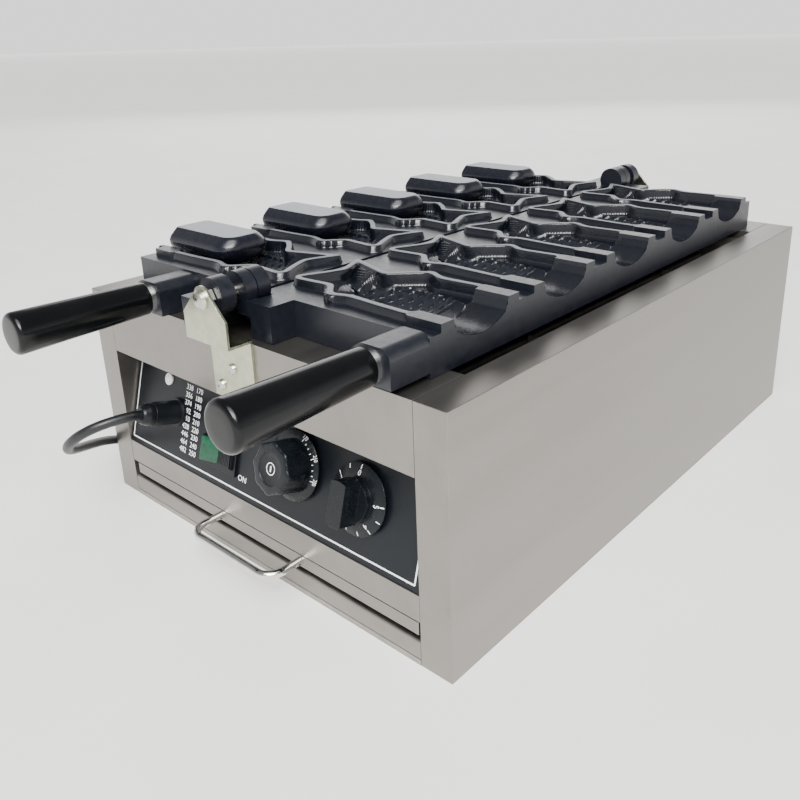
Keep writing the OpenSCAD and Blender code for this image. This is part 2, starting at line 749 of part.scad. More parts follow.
// Cast knuckle with the arm that joins it to its block
module knuckle(span) {
    arm_low = floor_z - 11.5;
    translate([0, 0, hinge_z]) bar_y(span[0], span[1], knuckle_r);
    block([0, span[0], arm_low], [block_reach - cut, span[1], floor_z]);
}
module hinge_block(y0, low) {
    block([knuckle_r + block_gap, y0, low], [block_reach, plate_y0 + cut, floor_z]);
}
module right_hinge() {
    hinge_block(knuckle2[0], plate_z);
    knuckle(knuckle2);
}
// The left plate's block starts further out and stays clear of the bracket's ledge
module left_hinge() {
    hinge_block(knuckle1[0], case_h + 5);
    knuckle(knuckle1);
    knuckle(knuckle3);
}

// Lug in front of a plate: round about the handle on one side, with a square shoulder on the other
lug_foot = 11.6;         // from the handle's axis down to the lug's underside
module handle_lug(place, side) {
    round_r = 8;
    along_y(-lug_front, plate_y0 + cut) translate(place) mirror([side, 0]) intersection() {
        union() {
            circle(lug_r);
            translate([0, -lug_r]) square([lug_reach, 2 * lug_r - round_r]);
            translate([0, -lug_r]) square([lug_reach - round_r, 2 * lug_r]);
            translate([lug_reach - round_r, lug_r - round_r]) circle(round_r);
        }
        translate([-lug_r, -lug_foot]) square([lug_r + lug_reach, lug_foot + lug_r]);
    }
}
rod_in = 20;             // how deep the handle rod sits in the lug

module at_handle(place) { translate([place[0], 0, place[1]]) children(); }

// One plate as a right half: slab, rims, hinge parts and lug, with the moulds cut out
module plate_body(setback, handle, side) {
    back_pocket = 4;
    pocket_x = plate_reach - 19;
    pocket_half = fish_pitch / 2 - 8;
    difference() {
        union() {
            block([plate_root, plate_y0, plate_z], [plate_reach, plate_y1, floor_z]);
            each_fish() fish_rim(setback);
            handle_lug(handle, side);
            both_ends() children();
        }
        each_fish() {
            fish_hollow();
            translate([throat_x, 0, 0]) mouth_trough(0);
            block([14, -pocket_half, plate_z - cut], [pocket_x, pocket_half, plate_z + back_pocket]);
        }
        both_ends() translate([0, 0, hinge_z])
            bar_y(-first_knuckle - cut, bore_end, bolt_d / 2 + bolt_play);
        at_handle(handle) bar_y(-lug_front - cut, rod_in, rod_d / 2 + fit);
    }
}

module right_plate() { placed("#26282c") plate_body(0, right_handle, 0) right_hinge(); }

plug_screw_x = plug_reach - foot_l / 2 - 0.5;
plug_screw_r = 2.5;
plug_screw_l = 16;
module left_plate() {
    placed("#26282c") mirror([1, 0, 0]) difference() {
        plate_body(left_land_setback, left_handle, 1) left_hinge();
        each_fish() translate([plug_screw_x, 0, plate_z - cut]) {
            cylinder(r = plug_screw_r + fit, h = plate_t);
            cylinder(r = 5.2, h = 5 + cut);
        }
    }
}

// Loaf-shaped core: four rounded levels joined, on a foot that fills the end of the trough
keel_half = 14;          // half width of a plug's narrow underside
keel_back = 24;          // how far the underside is set back from the nose
chin_drop = 3;           // depth of the last level that keeps nearly the full width
cheek_rise = 3.7;        // height of the widest level
brow_drop = 3.7;         // from the flat top down to where the bevel starts
plug_levels = [
    // height over the parting plane, nose set back, half width, corner radius
    [-mouth_depth + 5, keel_back, keel_half, nose_r - 7],
    [-chin_drop, keel_back / 5, plug_half - 1.7, nose_r - 2],
    [cheek_rise, 0, plug_half, nose_r],
    [plug_rise - brow_drop, crown_back / 2, plug_half - 3.5, nose_r - 3],
    [plug_rise, crown_back, crown_half, nose_r / 2]
];
module plug_level(level) {
    half = level[2];
    r = level[3];
    end_r = 3;
    nose = plug_reach - plug_l + level[1];
    tail = plug_reach - end_r - (level[0] > cheek_rise ? 1.5 : 0);
    translate([0, 0, rim_z + level[0]]) hull() for (s = [-1, 1]) {
        translate([nose + r, s * (half - r), 0]) cylinder(r = r, h = 0.1);
        translate([tail, s * (half - end_r), 0]) cylinder(r = end_r, h = 0.1);
    }
}
module mouth_plug() {
    difference() {
        union() {
            hull() {
                $fn = 32;
                for (level = plug_levels) plug_level(level);
            }
            intersection() {
                translate([throat_x, 0, 0]) mouth_trough(seat_gap);
                block([plug_reach - foot_l, -40, rim_z - mouth_depth - cut], [plug_reach, 40, rim_z - 2]);
            }
        }
        translate([plug_screw_x, 0, plate_z]) cylinder(r = plug_screw_r + fit, h = plate_t);
    }
}
module mouth_plugs() { placed("#1d1f23") mirror([1, 0, 0]) each_fish() mouth_plug(); }

module plug_screws() {
    head_r = 4.6;
    head_h = 3;
    seat = plate_z + 5;
    placed("#bdb9b2") mirror([1, 0, 0]) each_fish() translate([plug_screw_x, 0, 0]) union() {
        translate([0, 0, seat - head_h]) cylinder(r = head_r, h = head_h);
        translate([0, 0, seat - cut]) cylinder(r = plug_screw_r, h = plug_screw_l + cut);
    }
}

// HANDLES

ferrule_t = 2;
ferrule_end = -lug_front;
grip_start = ferrule_end - ferrule_t;
module handle_rod(place) {
    at_handle(place) bar_y(-grip_reach + 14, rod_in - 1, rod_d / 2);
}
module handle_ferrule(place) {
    at_handle(place) difference() {
        bar_y(grip_start, ferrule_end, grip_d1 / 2 - 0.5);
        bar_y(grip_start - cut, ferrule_end + cut, rod_d / 2 + fit);
    }
}
// Grip turned with a swelling towards its rounded end
module handle_grip(place) {
    round_r = 4;
    bore_end = grip_reach - 12;
    at_handle(place) rotate([90, 0, 0]) rotate_extrude() union() {
        polygon([[rod_d / 2 + fit, -grip_start], [grip_d1 / 2, -grip_start],
                 [grip_d1 / 2 + 0.2, -grip_start + 1],
                 [grip_d2 / 2, grip_reach - round_r], [0, grip_reach - round_r],
                 [0, bore_end], [rod_d / 2 + fit, bore_end]]);
        translate([grip_d2 / 2 - round_r, grip_reach - round_r]) intersection() {
            circle(round_r);
            square(round_r);
        }
        translate([0, grip_reach - round_r]) square([grip_d2 / 2 - round_r, round_r]);
    }
}
module right_handle_rod() { placed("#b9b6b0") handle_rod(right_handle); }
module left_handle_rod() { placed("#b9b6b0") mirror([1, 0, 0]) handle_rod(left_handle); }
module right_handle_ferrule() { placed("#c9c6c0") handle_ferrule(right_handle); }
module left_handle_ferrule() { placed("#c9c6c0") mirror([1, 0, 0]) handle_ferrule(left_handle); }
module right_handle_grip() { placed("#141517") handle_grip(right_handle); }
module left_handle_grip() { placed("#141517") mirror([1, 0, 0]) handle_grip(left_handle); }

// DRAWER

module crumb_tray() {
    x0 = tray_shift - tray_w / 2;
    x1 = tray_shift + tray_w / 2;
    wall_h = 8;
    placed("#b3ada6") difference() {
        union() {
            block([x0, 0, tray_z], [x1, tray_t, tray_z + tray_h]);
            block([x0, 0, tray_z], [x1, tray_l, tray_z + wall_h]);
        }
        block([x0 + tray_t, tray_t, tray_z + tray_t],
              [x1 - tray_t, tray_l - tray_t, tray_z + wall_h + cut]);
    }
}

// Chromed wire: two legs and a front bar, joined by round bends
module tray_handle() {
    r = wire_d / 2;
    front = -wire_out + r;
    z = tray_z + tray_h - r - 0.6;
    placed("#dedcd8") translate([wire_x, 0, z]) union() {
        translate([0, front, 0]) bar_x(-wire_span / 2 + wire_bend, wire_span / 2 - wire_bend, r);
        for (s = [-1, 1]) translate([s * wire_span / 2, 0, 0]) bar_y(front + wire_bend, 0, r);
        for (side = [0, 1]) mirror([side, 0, 0])
            translate([wire_span / 2 - wire_bend, front + wire_bend, 0])
                rotate([0, 0, -90]) rotate_extrude(angle = 90) translate([wire_bend, 0]) circle(r);
    }
}

// CONTROLS THAT MOVE

dial_low = 3;            // gap between the panel and the dials
dial_t = 4;
dial_hole_r = 10;
// Bevelled ring with the scale
module temperature_dial() {
    placed("#2b2e33") on_panel(temp_x, temp_t) rotate_extrude()
        polygon([[dial_hole_r, dial_low], [dial_r, dial_low], [dial_r, dial_low + 1],
                 [lobe_r + 1, dial_low + dial_t], [dial_hole_r, dial_low + dial_t]]);
}
knob_top = 26;
cap_r = 11.5;
// Lobed knob: a cylinder with shallow scallops, on a boss that carries the dial
module temperature_knob() {
    scallops = 8;
    scallop_r = 9;
    base = dial_low + dial_t;
    placed("#24262a") on_panel(temp_x, temp_t) difference() {
        union() {
            translate([0, 0, base]) cylinder(r = lobe_r, h = knob_top - base);
            translate([0, 0, dial_low]) cylinder(r = dial_hole_r - 0.02, h = dial_t + cut);
        }
        for (k = [0:scallops - 1]) rotate([0, 0, (k + 0.5) * 360 / scallops])
            translate([lobe_r + scallop_r - 1.6, 0, base + 2]) cylinder(r = scallop_r, h = knob_top);
        translate([0, 0, knob_top - 3]) cylinder(r = cap_r + fit, h = 3 + cut);
        translate([0, 0, dial_low - cut]) cylinder(d = shaft_d + 2 * fit, h = knob_top - 6 - dial_low);
    }
}
// Dished cap in the knob's face
module temperature_cap() {
    dish_r = 30;
    placed("#31343a") on_panel(temp_x, temp_t) difference() {
        translate([0, 0, knob_top - 3]) cylinder(r = cap_r, h = 3.4);
        translate([0, 0, knob_top + 0.4 + dish_r - 1.8]) sphere(r = dish_r);
    }
}
module control_shaft(top) { translate([0, 0, -shaft_in]) cylinder(d = shaft_d, h = shaft_in + top); }
module thermostat_shaft() {
    placed("#c9c6c0") on_panel(temp_x, temp_t) control_shaft(knob_top - 8);
}
module timer_shaft() { placed("#c9c6c0") on_panel(timer_x, timer_t) control_shaft(14); }

// Skirt with a round hub and a straight bar to turn it by
module timer_knob() {
    bar_w = 13.5;
    bar_top = 25;
    hub_r = 15;
    hub_top = dial_low + dial_t + 4;
    placed("#24262a") on_panel(timer_x, timer_t) difference() {
        union() {
            rotate_extrude() polygon([[0, dial_low], [timer_r, dial_low], [timer_r, dial_low + 1],
                                      [hub_r + 2, dial_low + dial_t], [0, dial_low + dial_t]]);
            cylinder_from(dial_low + dial_t - cut, hub_top, hub_r);
            translate([0, 0, hub_top - cut]) linear_extrude(bar_top - hub_top + cut) intersection() {
                square([bar_w, timer_bar + 4], center = true);
                circle(timer_bar / 2 + 1.5);
            }
        }
        translate([0, 0, dial_low - cut]) cylinder(d = shaft_d + 2 * fit, h = 14.5 - dial_low + cut);
    }
}
module cylinder_from(low, high, r) { translate([0, 0, low]) cylinder(r = r, h = high - low); }

// Rocker: shallow V between round ends, on two stub pins, with its green side up at rest
module rocker() {
    rise = 5;
    middle = 3;
    placed("#1d7a4c") on_panel(switch_x, switch_t) rotate([0, rocker_throw / 2, 0])
        rotate([90, 0, 0]) union() {
            translate([0, 0, -rocker_h / 2]) linear_extrude(rocker_h) intersection() {
                circle(rocker_half, $fn = 96);
                polygon([[-rocker_half - 1, -rocker_deep], [rocker_half + 1, -rocker_deep],
                         [rocker_half + 1, middle + rise], [0, middle], [-rocker_half - 1, middle + rise]]);
            }
            translate([0, 0, -rocker_h / 2 - 1.3]) cylinder(r = rocker_pin_r, h = rocker_h + 2.6);
        }
}

// MAINS LEAD

cord_r = cord_d / 2;
gland_tip = panel_point(gland_x, gland_t, gland_out);
// From the gland round the case's front left corner, down to the table and back along its side
cord_points = [
    [-108, -32, 108.5], [-112.5, -47, 108], [-120, -58.5, 104], [-130, -65.5, 97],
    [-142, -67.5, 87.5], [-153, -64, 78.5], [-166, -54, 70], [-180, -40.5, 62], [-193, -25.5, 54.5],
    [-202.5, -10.5, 48], [-208.5, 6, 41], [-212, 24, 33.5], [-214.5, 43, 25.5], [-216.5, 62, 18],
    [-218, 82, 11.5], [-219.5, 103, 6.5], [-220.5, 125, 4.3], [-221.5, 149, 4.1], [-222.5, 175, 4.1],
    [-223, 201, 4.1], [-223.5, 228, 4.1]
];
coil_r = 56;             // middle line of the coil's outer turn
coil_middle = [-279.5, 260];
coil_pitch = 9;          // from turn to turn and from layer to layer
coil_in = 2;             // turns of the lower layer
coil_out = 1.5;          // turns of the upper layer
coil_steps = 24;         // rings to a turn
coil_low = cord_r;
coil_high = cord_r + coil_pitch;
coil_turns = coil_in + 0.5 + coil_out;
function smooth(f) = f * f * (3 - 2 * f);
function coil_radius(t) =
    t <= coil_in ? coil_r - coil_pitch * t
    : t <= coil_in + 0.5
        ? let (u = (t - coil_in) * 2) coil_r - coil_pitch * coil_in - coil_pitch / 2 * u * (1 - u)
        : coil_r - coil_pitch * coil_in + coil_pitch * (t - coil_in - 0.5);
function coil_height(t) =
    t <= coil_in ? coil_low
    : t <= coil_in + 0.5 ? coil_low + (coil_high - coil_low) * smooth((t - coil_in) * 2)
        : coil_high;
function coil_point(t) =
    [coil_middle[0] + coil_radius(t) * cos(360 * t),
     coil_middle[1] + coil_radius(t) * sin(360 * t), coil_height(t)];
coil_end = coil_point(coil_turns);
coil_line = concat(
    [coil_point(0) - [0, cord_d, 0]],
    [for (k = [0:coil_steps * coil_turns]) coil_point(k / coil_steps)],
    [coil_end + [0, cord_d, 0]]);
plug_y = 316;
cord_line = concat([gland_tip], cord_points, [coil_line[0]]);
tail_line = [coil_line[len(coil_line) - 1], coil_end + [0, 26, 0], [coil_end[0], plug_y, coil_high]];

// Tube of n sides swept along a line: each ring stands square to the line at its point
function tangent(p, i, first, last) =
    i == 0 ? unit(first) : i == len(p) - 1 ? unit(last) : unit(unit(p[i + 1] - p[i]) + unit(p[i] - p[i - 1]));
function ring(c, d, r, n) =
    let (side = unit(cross(d, [0, 0, 1])), up = cross(side, d))
    [for (k = [0:n - 1]) c + r * (cos(360 * (k + 0.5) / n) * side + sin(360 * (k + 0.5) / n) * up)];
module tube(p, r, n, first, last) {
    rings = len(p);
    points = [for (i = [0:rings - 1]) each ring(p[i], tangent(p, i, first, last), r, n)];
    sides = [for (i = [0:rings - 2], k = [0:n - 1])
        let (a = i * n + k, b = i * n + (k + 1) % n)
        each [[a, b, a + n], [b, b + n, a + n]]];
    caps = [[for (k = [n - 1:-1:0]) k], [for (k = [0:n - 1]) (rings - 1) * n + k]];
    polyhedron(points, concat(sides, caps));
}
function line_length(p) = len(p) < 2 ? 0 : norm(p[1] - p[0]) + line_length([for (i = [1:len(p) - 1]) p[i]]);
function path_length(p) = [for (i = [0:len(p) - 2]) norm(p[i + 1] - p[i])] * [for (i = [0:len(p) - 2]) 1];
cord_length = path_length(cord_line) + path_length(coil_line) + path_length(tail_line);
// Least distance between the coil's middle line and itself, over half a turn away along the line
coil_gap = min([for (i = [0:len(coil_line) - 1], j = [i + coil_steps / 2:1:len(coil_line) - 1])
    norm(coil_line[i] - coil_line[j])]) - cord_d;
echo(cord_length = cord_length, coil_gap = coil_gap);

gland_direction = [0, -cos(panel_tilt), sin(panel_tilt)];
module power_cord() {
    placed("#1a1b1d") union() {
        tube(cord_line, cord_r, 8, gland_direction, [0, 1, 0]);
        tube(tail_line, cord_r, 8, [0, 1, 0], [0, 1, 0]);
    }
}
module cord_coil() { placed("#1a1b1d") tube(coil_line, cord_r, 6, [0, 1, 0], [0, 1, 0]); }

// Moulded plug with a flattened body and three flat pins
module plug() {
    body_w = 34;
    body_h = 2 * coil_high - 0.2;
    body_l = 40;
    neck_l = 8;
    round_r = 8;
    pin = [1.6, 17, 6.3];
    placed("#1a1b1d") translate([coil_end[0], plug_y, coil_high]) union() {
        bar_y(0, neck_l + cut, cord_r + 2.5);
        intersection() {
            along_y(neck_l, neck_l + body_l) union() {
                square([body_w, body_h - 2 * round_r], center = true);
                square([body_w - 2 * round_r, body_h], center = true);
                for (x = [-1, 1], z = [-1, 1])
                    translate([x * (body_w / 2 - round_r), z * (body_h / 2 - round_r)]) circle(round_r);
            }
            translate([0, 0, -body_h]) linear_extrude(2 * body_h)
                polygon([[-9, neck_l - cut], [9, neck_l - cut], [body_w / 2, neck_l + 12],
                         [body_w / 2, neck_l + body_l + cut], [-body_w / 2, neck_l + body_l + cut],
                         [-body_w / 2, neck_l + 12]]);
        }
        for (s = [-1, 1]) translate([s * 8, neck_l + body_l - cut, 4]) rotate([0, s * 30, 0])
            translate([-pin[0] / 2, 0, -pin[2] / 2]) cube([pin[0], pin[1] + cut, pin[2]]);
        translate([-pin[0] / 2, neck_l + body_l - cut, -9]) cube([pin[0], pin[1] + 3 + cut, pin[2]]);
    }
}

base_pan();
left_side_panel();
right_side_panel();
front_upper_panel();
control_panel();
lower_front_strip();
base_front_rail();
rear_panel();
heat_shield();
control_bulkhead();
left_heating_element();
right_heating_element();
element_supports();
thermostat_body();
thermostat_bulb();
timer_body();
switch_body();
indicator_lamp();
terminal_block();
cable_gland();
gland_nut();
gland_locknut();
tray_runners();
front_hinge_bracket();
rear_hinge_bracket();
bracket_screws();
front_pivot_bolt();
rear_pivot_bolt();
pivot_nuts();
left_plate();
mouth_plugs();
plug_screws();
left_handle_rod();
left_handle_ferrule();
left_handle_grip();
right_plate();
right_handle_rod();
right_handle_ferrule();
right_handle_grip();
crumb_tray();
tray_handle();
temperature_dial();
temperature_knob();
temperature_cap();
thermostat_shaft();
timer_knob();
timer_shaft();
rocker();
power_cord();
cord_coil();
plug();
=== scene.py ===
# %% [markdown]
# # A countertop taiyaki maker, standing open
#
# The machine is a folded stainless case under two cast plates with a black non-stick coat, which lie
# open like a book. The CAD frame has every part at its true size and place. This lesson gives the
# parts their finishes, and lays over them the forms that a solid modeller leaves plain, as numpy
# surfaces.

# %% The frame
import math
import bpy
import bmesh
import numpy as np
from mathutils import Matrix, Vector


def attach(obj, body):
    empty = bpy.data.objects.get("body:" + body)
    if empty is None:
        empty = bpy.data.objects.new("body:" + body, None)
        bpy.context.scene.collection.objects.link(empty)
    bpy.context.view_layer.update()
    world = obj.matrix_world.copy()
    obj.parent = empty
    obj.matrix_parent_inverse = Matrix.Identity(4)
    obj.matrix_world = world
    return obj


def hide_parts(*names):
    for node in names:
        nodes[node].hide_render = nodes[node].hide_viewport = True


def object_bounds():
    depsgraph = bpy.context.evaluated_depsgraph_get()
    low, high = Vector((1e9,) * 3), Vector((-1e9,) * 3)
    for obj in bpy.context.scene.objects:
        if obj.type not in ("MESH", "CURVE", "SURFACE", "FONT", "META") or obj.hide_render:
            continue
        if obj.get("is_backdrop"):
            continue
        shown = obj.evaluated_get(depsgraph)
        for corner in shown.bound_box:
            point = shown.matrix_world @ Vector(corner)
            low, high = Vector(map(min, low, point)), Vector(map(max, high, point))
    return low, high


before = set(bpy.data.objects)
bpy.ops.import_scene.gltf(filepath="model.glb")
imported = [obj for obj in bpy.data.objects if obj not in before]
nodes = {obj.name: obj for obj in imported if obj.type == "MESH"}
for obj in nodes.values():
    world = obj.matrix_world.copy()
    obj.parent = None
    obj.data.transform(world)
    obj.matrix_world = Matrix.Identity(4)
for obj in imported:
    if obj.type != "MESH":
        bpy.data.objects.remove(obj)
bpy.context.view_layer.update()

print("CAD nodes:", len(nodes))

# %% [markdown]
# ## Millimetres of the machine
#
# A maker measures from the machine itself, so everything below is in its own millimetres: x from
# the hinge axis, y from the front face of the case, z from the table. The scene is in metres, with
# its origin under the machine's middle. One function goes from the first to the second, and another
# lays things on the sloping black panel, so no piece is moved or turned later.

# %% Shared sizes
MM = 0.001
SHIFT = np.array([0.0, -239.25, 0.0])  # from the case's front face to the scene's origin
FLOOR_Z, RIM_Z = 219.5, 225.3  # the open plates' floor and the tops of their rims
MIDDLE_Y, FISH_PITCH = 282.0, 100.4  # the third fish, and the step to its neighbours
FISH_Y = MIDDLE_Y + FISH_PITCH * (np.arange(5) - 2)
PANEL_TILT = math.atan(24.0 / 85.0)  # the black panel leans back 24 mm in 85 mm of height
PANEL_Y, PANEL_Z = 1.0, 55.2  # its lower edge
INK_LIFT = 0.08  # printing stands this far proud of what carries it


def metres(points):
    """Machine millimetres to scene metres: p -> (p + SHIFT) / 1000."""
    return (np.asarray(points, float) + SHIFT) * MM


def on_panel(points, x, t):
    """Points (right, up the slope, out) about the place x, t of the black panel, in machine mm."""
    p = np.asarray(points, float)
    s, c = math.sin(PANEL_TILT), math.cos(PANEL_TILT)
    up, out = t + p[..., 1], p[..., 2]
    return np.stack([x + p[..., 0], PANEL_Y + up * s - out * c, PANEL_Z + up * c + out * s], -1)


def mirrored(points):
    """The left half's copy: x -> -x."""
    return np.asarray(points) * np.array([-1.0, 1.0, 1.0])


print("Fish at y", np.round(FISH_Y, 1), "mm, panel tilt", round(math.degrees(PANEL_TILT), 1))

# %% [markdown]
# ## From a surface to a piece
#
# A turned grip, a bent lead and a loaf-shaped core look different, but each is a grid of points:
# one parameter runs round the piece, the other along it. So one function turns any grid into a mesh,
# and a shape only says where its points lie. Rings are closed at both ends by a row of their middle
# point. Equal points are merged afterwards, which closes seams and poles as well.

# %% Grid to mesh
MERGE = 2e-6  # metres, far less than the distance of two grid points


def grid_faces(rows, cols, around):
    """Quads (r,c) (r,c+1) (r+1,c+1) (r+1,c); around joins the last column to the first."""
    r = np.arange(rows - 1)[:, None] * cols
    c = np.arange(cols if around else cols - 1)[None, :]
    a, b = r + c, r + (c + 1) % cols
    return np.stack([a, b, b + cols, a + cols], -1).reshape(-1, 4)


def linked(name, data):
    """An object for the data, put into the scene."""
    made = bpy.data.objects.new(name, data)
    bpy.context.scene.collection.objects.link(made)
    return made


def painted(name, points, faces, coat):
    """A mesh in metres with one finish, put into the scene."""
    mesh = bpy.data.meshes.new(name)
    mesh.from_pydata(points, [], faces)
    mesh.materials.append(coat)
    return linked(name, mesh)


def piece(name, parts, body, coat, stands_for=(), angle=40, closed=True, up=False,
          top_sheen=None):
    """Joins grids (points, around) into one mesh that rides on a body.

    Edges over the angle stay sharp. Faces of a closed piece turn outwards, and with up those of an
    open one upwards. The last argument is 1 on flat tops, where the finish paints a lighter sheen
    that stands in for the light they reflect.
    """
    verts, faces, first = [], [], 0
    for points, around in parts:
        rows, cols = points.shape[:2]
        verts.append(metres(points).reshape(-1, 3))
        faces.append(grid_faces(rows, cols, around) + first)
        first += rows * cols
    made = painted(name, np.concatenate(verts), np.concatenate(faces), coat)
    mesh = made.data
    # Flat tops carry a mask for a painted sheen: the finish lightens them in place of reflected
    # light.
    if top_sheen is not None:
        mesh.attributes.new("top_sheen", "FLOAT", "POINT").data.foreach_set("value", top_sheen.ravel())
    work = bmesh.new()
    work.from_mesh(mesh)
    bmesh.ops.remove_doubles(work, verts=work.verts, dist=MERGE)
    if closed:
        bmesh.ops.recalc_face_normals(work, faces=work.faces)
    work.to_mesh(mesh)
    work.free()
    if up:
        normals = np.empty(len(mesh.polygons) * 3)
        mesh.polygons.foreach_get("normal", normals)
        if normals[2::3].sum() < 0:
            mesh.flip_normals()
    mesh.shade_smooth()
    mesh.set_sharp_from_angle(angle=math.radians(angle))
    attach(made, body)
    if stands_for:
        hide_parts(*stands_for)
    return made


print("A closed grid of 3 by 4 points has", len(grid_faces(3, 4, True)), "quads")

# %% Shapes of grids
def capped(rings):
    """Rings (rows, cols, 3) with a row of the middle point before the first and after the last."""
    first = np.broadcast_to(rings[:1].mean(1, keepdims=True), rings[:1].shape)
    last = np.broadcast_to(rings[-1:].mean(1, keepdims=True), rings[:1].shape)
    return np.concatenate([first, rings, last]), True


def circle(n):
    """n points of the unit circle: (cos a, sin a)."""
    a = 2 * np.pi * np.arange(n) / n
    return np.stack([np.cos(a), np.sin(a)], -1)


def rounded(half_x, half_y, r, n=6):
    """Outline of a rectangle with round corners: corner centre + r (cos, sin)."""
    a = np.linspace(0, np.pi / 2, n)
    quarter = np.stack([np.cos(a), np.sin(a)], -1)
    turns = [np.array([[1, 0], [0, 1]]), np.array([[0, -1], [1, 0]]),
             np.array([[-1, 0], [0, -1]]), np.array([[0, 1], [-1, 0]])]
    middles = np.array([[1, 1], [-1, 1], [-1, -1], [1, -1]]) * [half_x - r, half_y - r]
    return np.concatenate([m + r * quarter @ t.T for m, t in zip(middles, turns)])


def raised(outline, low, high, edge, steps=4):
    """An outline raised from low to high, its edges rounded: inset edge (1 - cos), height sin."""
    a = np.linspace(0, np.pi / 2, steps)
    size = np.abs(outline).max(0)
    inset = np.concatenate([edge * (1 - np.sin(a)), edge * (1 - np.cos(a))])
    level = np.concatenate([low + edge * (1 - np.cos(a)), high - edge * (1 - np.sin(a))])
    scale = 1 - inset[:, None, None] / size
    flat = outline[None] * scale
    return np.concatenate([flat, np.broadcast_to(level[:, None, None], flat[..., :1].shape)], -1)


def lathe(profile, n=64):
    """Profile rows (radius, height) turned about the third axis: (r cos a, r sin a, height)."""
    p = np.asarray(profile, float)
    ring = circle(n)
    flat = p[:, None, :1] * ring[None]
    return np.concatenate([flat, np.broadcast_to(p[:, None, 1:], flat[..., :1].shape)], -1)


def tube(path, radius, n):
    """Rings square to a path: point + r (cos a side + sin a up), side level and up across both."""
    path = np.asarray(path, float)
    d = np.gradient(path, axis=0)
    d /= np.linalg.norm(d, axis=1)[:, None]
    side = np.cross(d, [0.0, 0.0, 1.0])
    side /= np.linalg.norm(side, axis=1)[:, None]
    up = np.cross(side, d)
    ring = circle(n) * radius
    return path[:, None] + ring[None, :, :1] * side[:, None] + ring[None, :, 1:] * up[:, None]


print("A rounded rectangle has", len(rounded(10, 5, 2)), "points")

# %% [markdown]
# ## Camera
#
# The machine is seen from the front right, a little above the plates and from close by, so lines to
# the back converge strongly. Three angles give the view's direction and tilt, and cross products
# the camera's axes, which is easier to check than a rotation set by hand. A small shift moves the
# picture without turning the camera.

# %% Camera
AZIMUTH, ELEVATION, ROLL = np.radians([41.24, 19.37, -1.45])
EYE = [0.47257, -0.5588, 0.39504]  # metres
LENS, SENSOR = 37.15, 36.0  # mm
SIDE_SHIFT, UP_SHIFT = -0.043, -0.10  # shares of the sensor's width
NEAR, FAR = 0.01, 50.0  # metres, past the backdrop
sight = np.array([-math.sin(AZIMUTH) * math.cos(ELEVATION),
                  math.cos(AZIMUTH) * math.cos(ELEVATION), -math.sin(ELEVATION)])
level = np.array([math.cos(AZIMUTH), math.sin(AZIMUTH), 0.0])
upright = np.cross(level, sight)
across = math.cos(ROLL) * level + math.sin(ROLL) * upright
above = -math.sin(ROLL) * level + math.cos(ROLL) * upright
camera = linked("camera", bpy.data.cameras.new("camera"))
pose = np.eye(4)
pose[:3, 0], pose[:3, 1], pose[:3, 2], pose[:3, 3] = across, above, -sight, EYE
camera.matrix_world = Matrix(pose.tolist())
camera.data.lens, camera.data.sensor_width = LENS, SENSOR
camera.data.shift_x, camera.data.shift_y = SIDE_SHIFT, UP_SHIFT
camera.data.clip_start, camera.data.clip_end = NEAR, FAR
bpy.context.scene.camera = camera
print("Camera at", EYE, "lens", LENS)

# %% [markdown]
# ## How a finish is made
#
# No real surface has one flat colour. Each finish starts from the real material, and a cloud pattern
# measured in millimetres moves its colour between two close tones and its roughness between two
# values. A relief follows the same cloud, or small grains where the surface was cast. The pattern
# reads Object coordinates, so it can't slide over a piece that moves.

# %% Nodes
CLOUD = (0.3, 0.7)  # the noise stays mostly between these values
SWELL = 0.35  # swells in a cast skin are about three grains wide
GROUND_ROUGH = 0.5  # a top that was ground flat has fine scratches


def linear(code):
    """#rrggbb in sRGB to linear light: c/12.92 below 0.04045, ((c+0.055)/1.055)^2.4 above."""
    c = np.array([int(code[i:i + 2], 16) for i in (1, 3, 5)]) / 255
    return (*np.where(c < 0.04045, c / 12.92, ((c + 0.055) / 1.055) ** 2.4), 1.0)


def add(tree, kind, inputs=None, **settings):
    """One shader node with its settings; an input is a value or another node's output."""
    made = tree.nodes.new("ShaderNode" + kind)
    for key, value in settings.items():
        setattr(made, key, value)
    for key, value in (inputs or {}).items():
        if isinstance(value, bpy.types.NodeSocket):
            tree.links.new(value, made.inputs[key])
        else:
            made.inputs[key].default_value = value
    return made


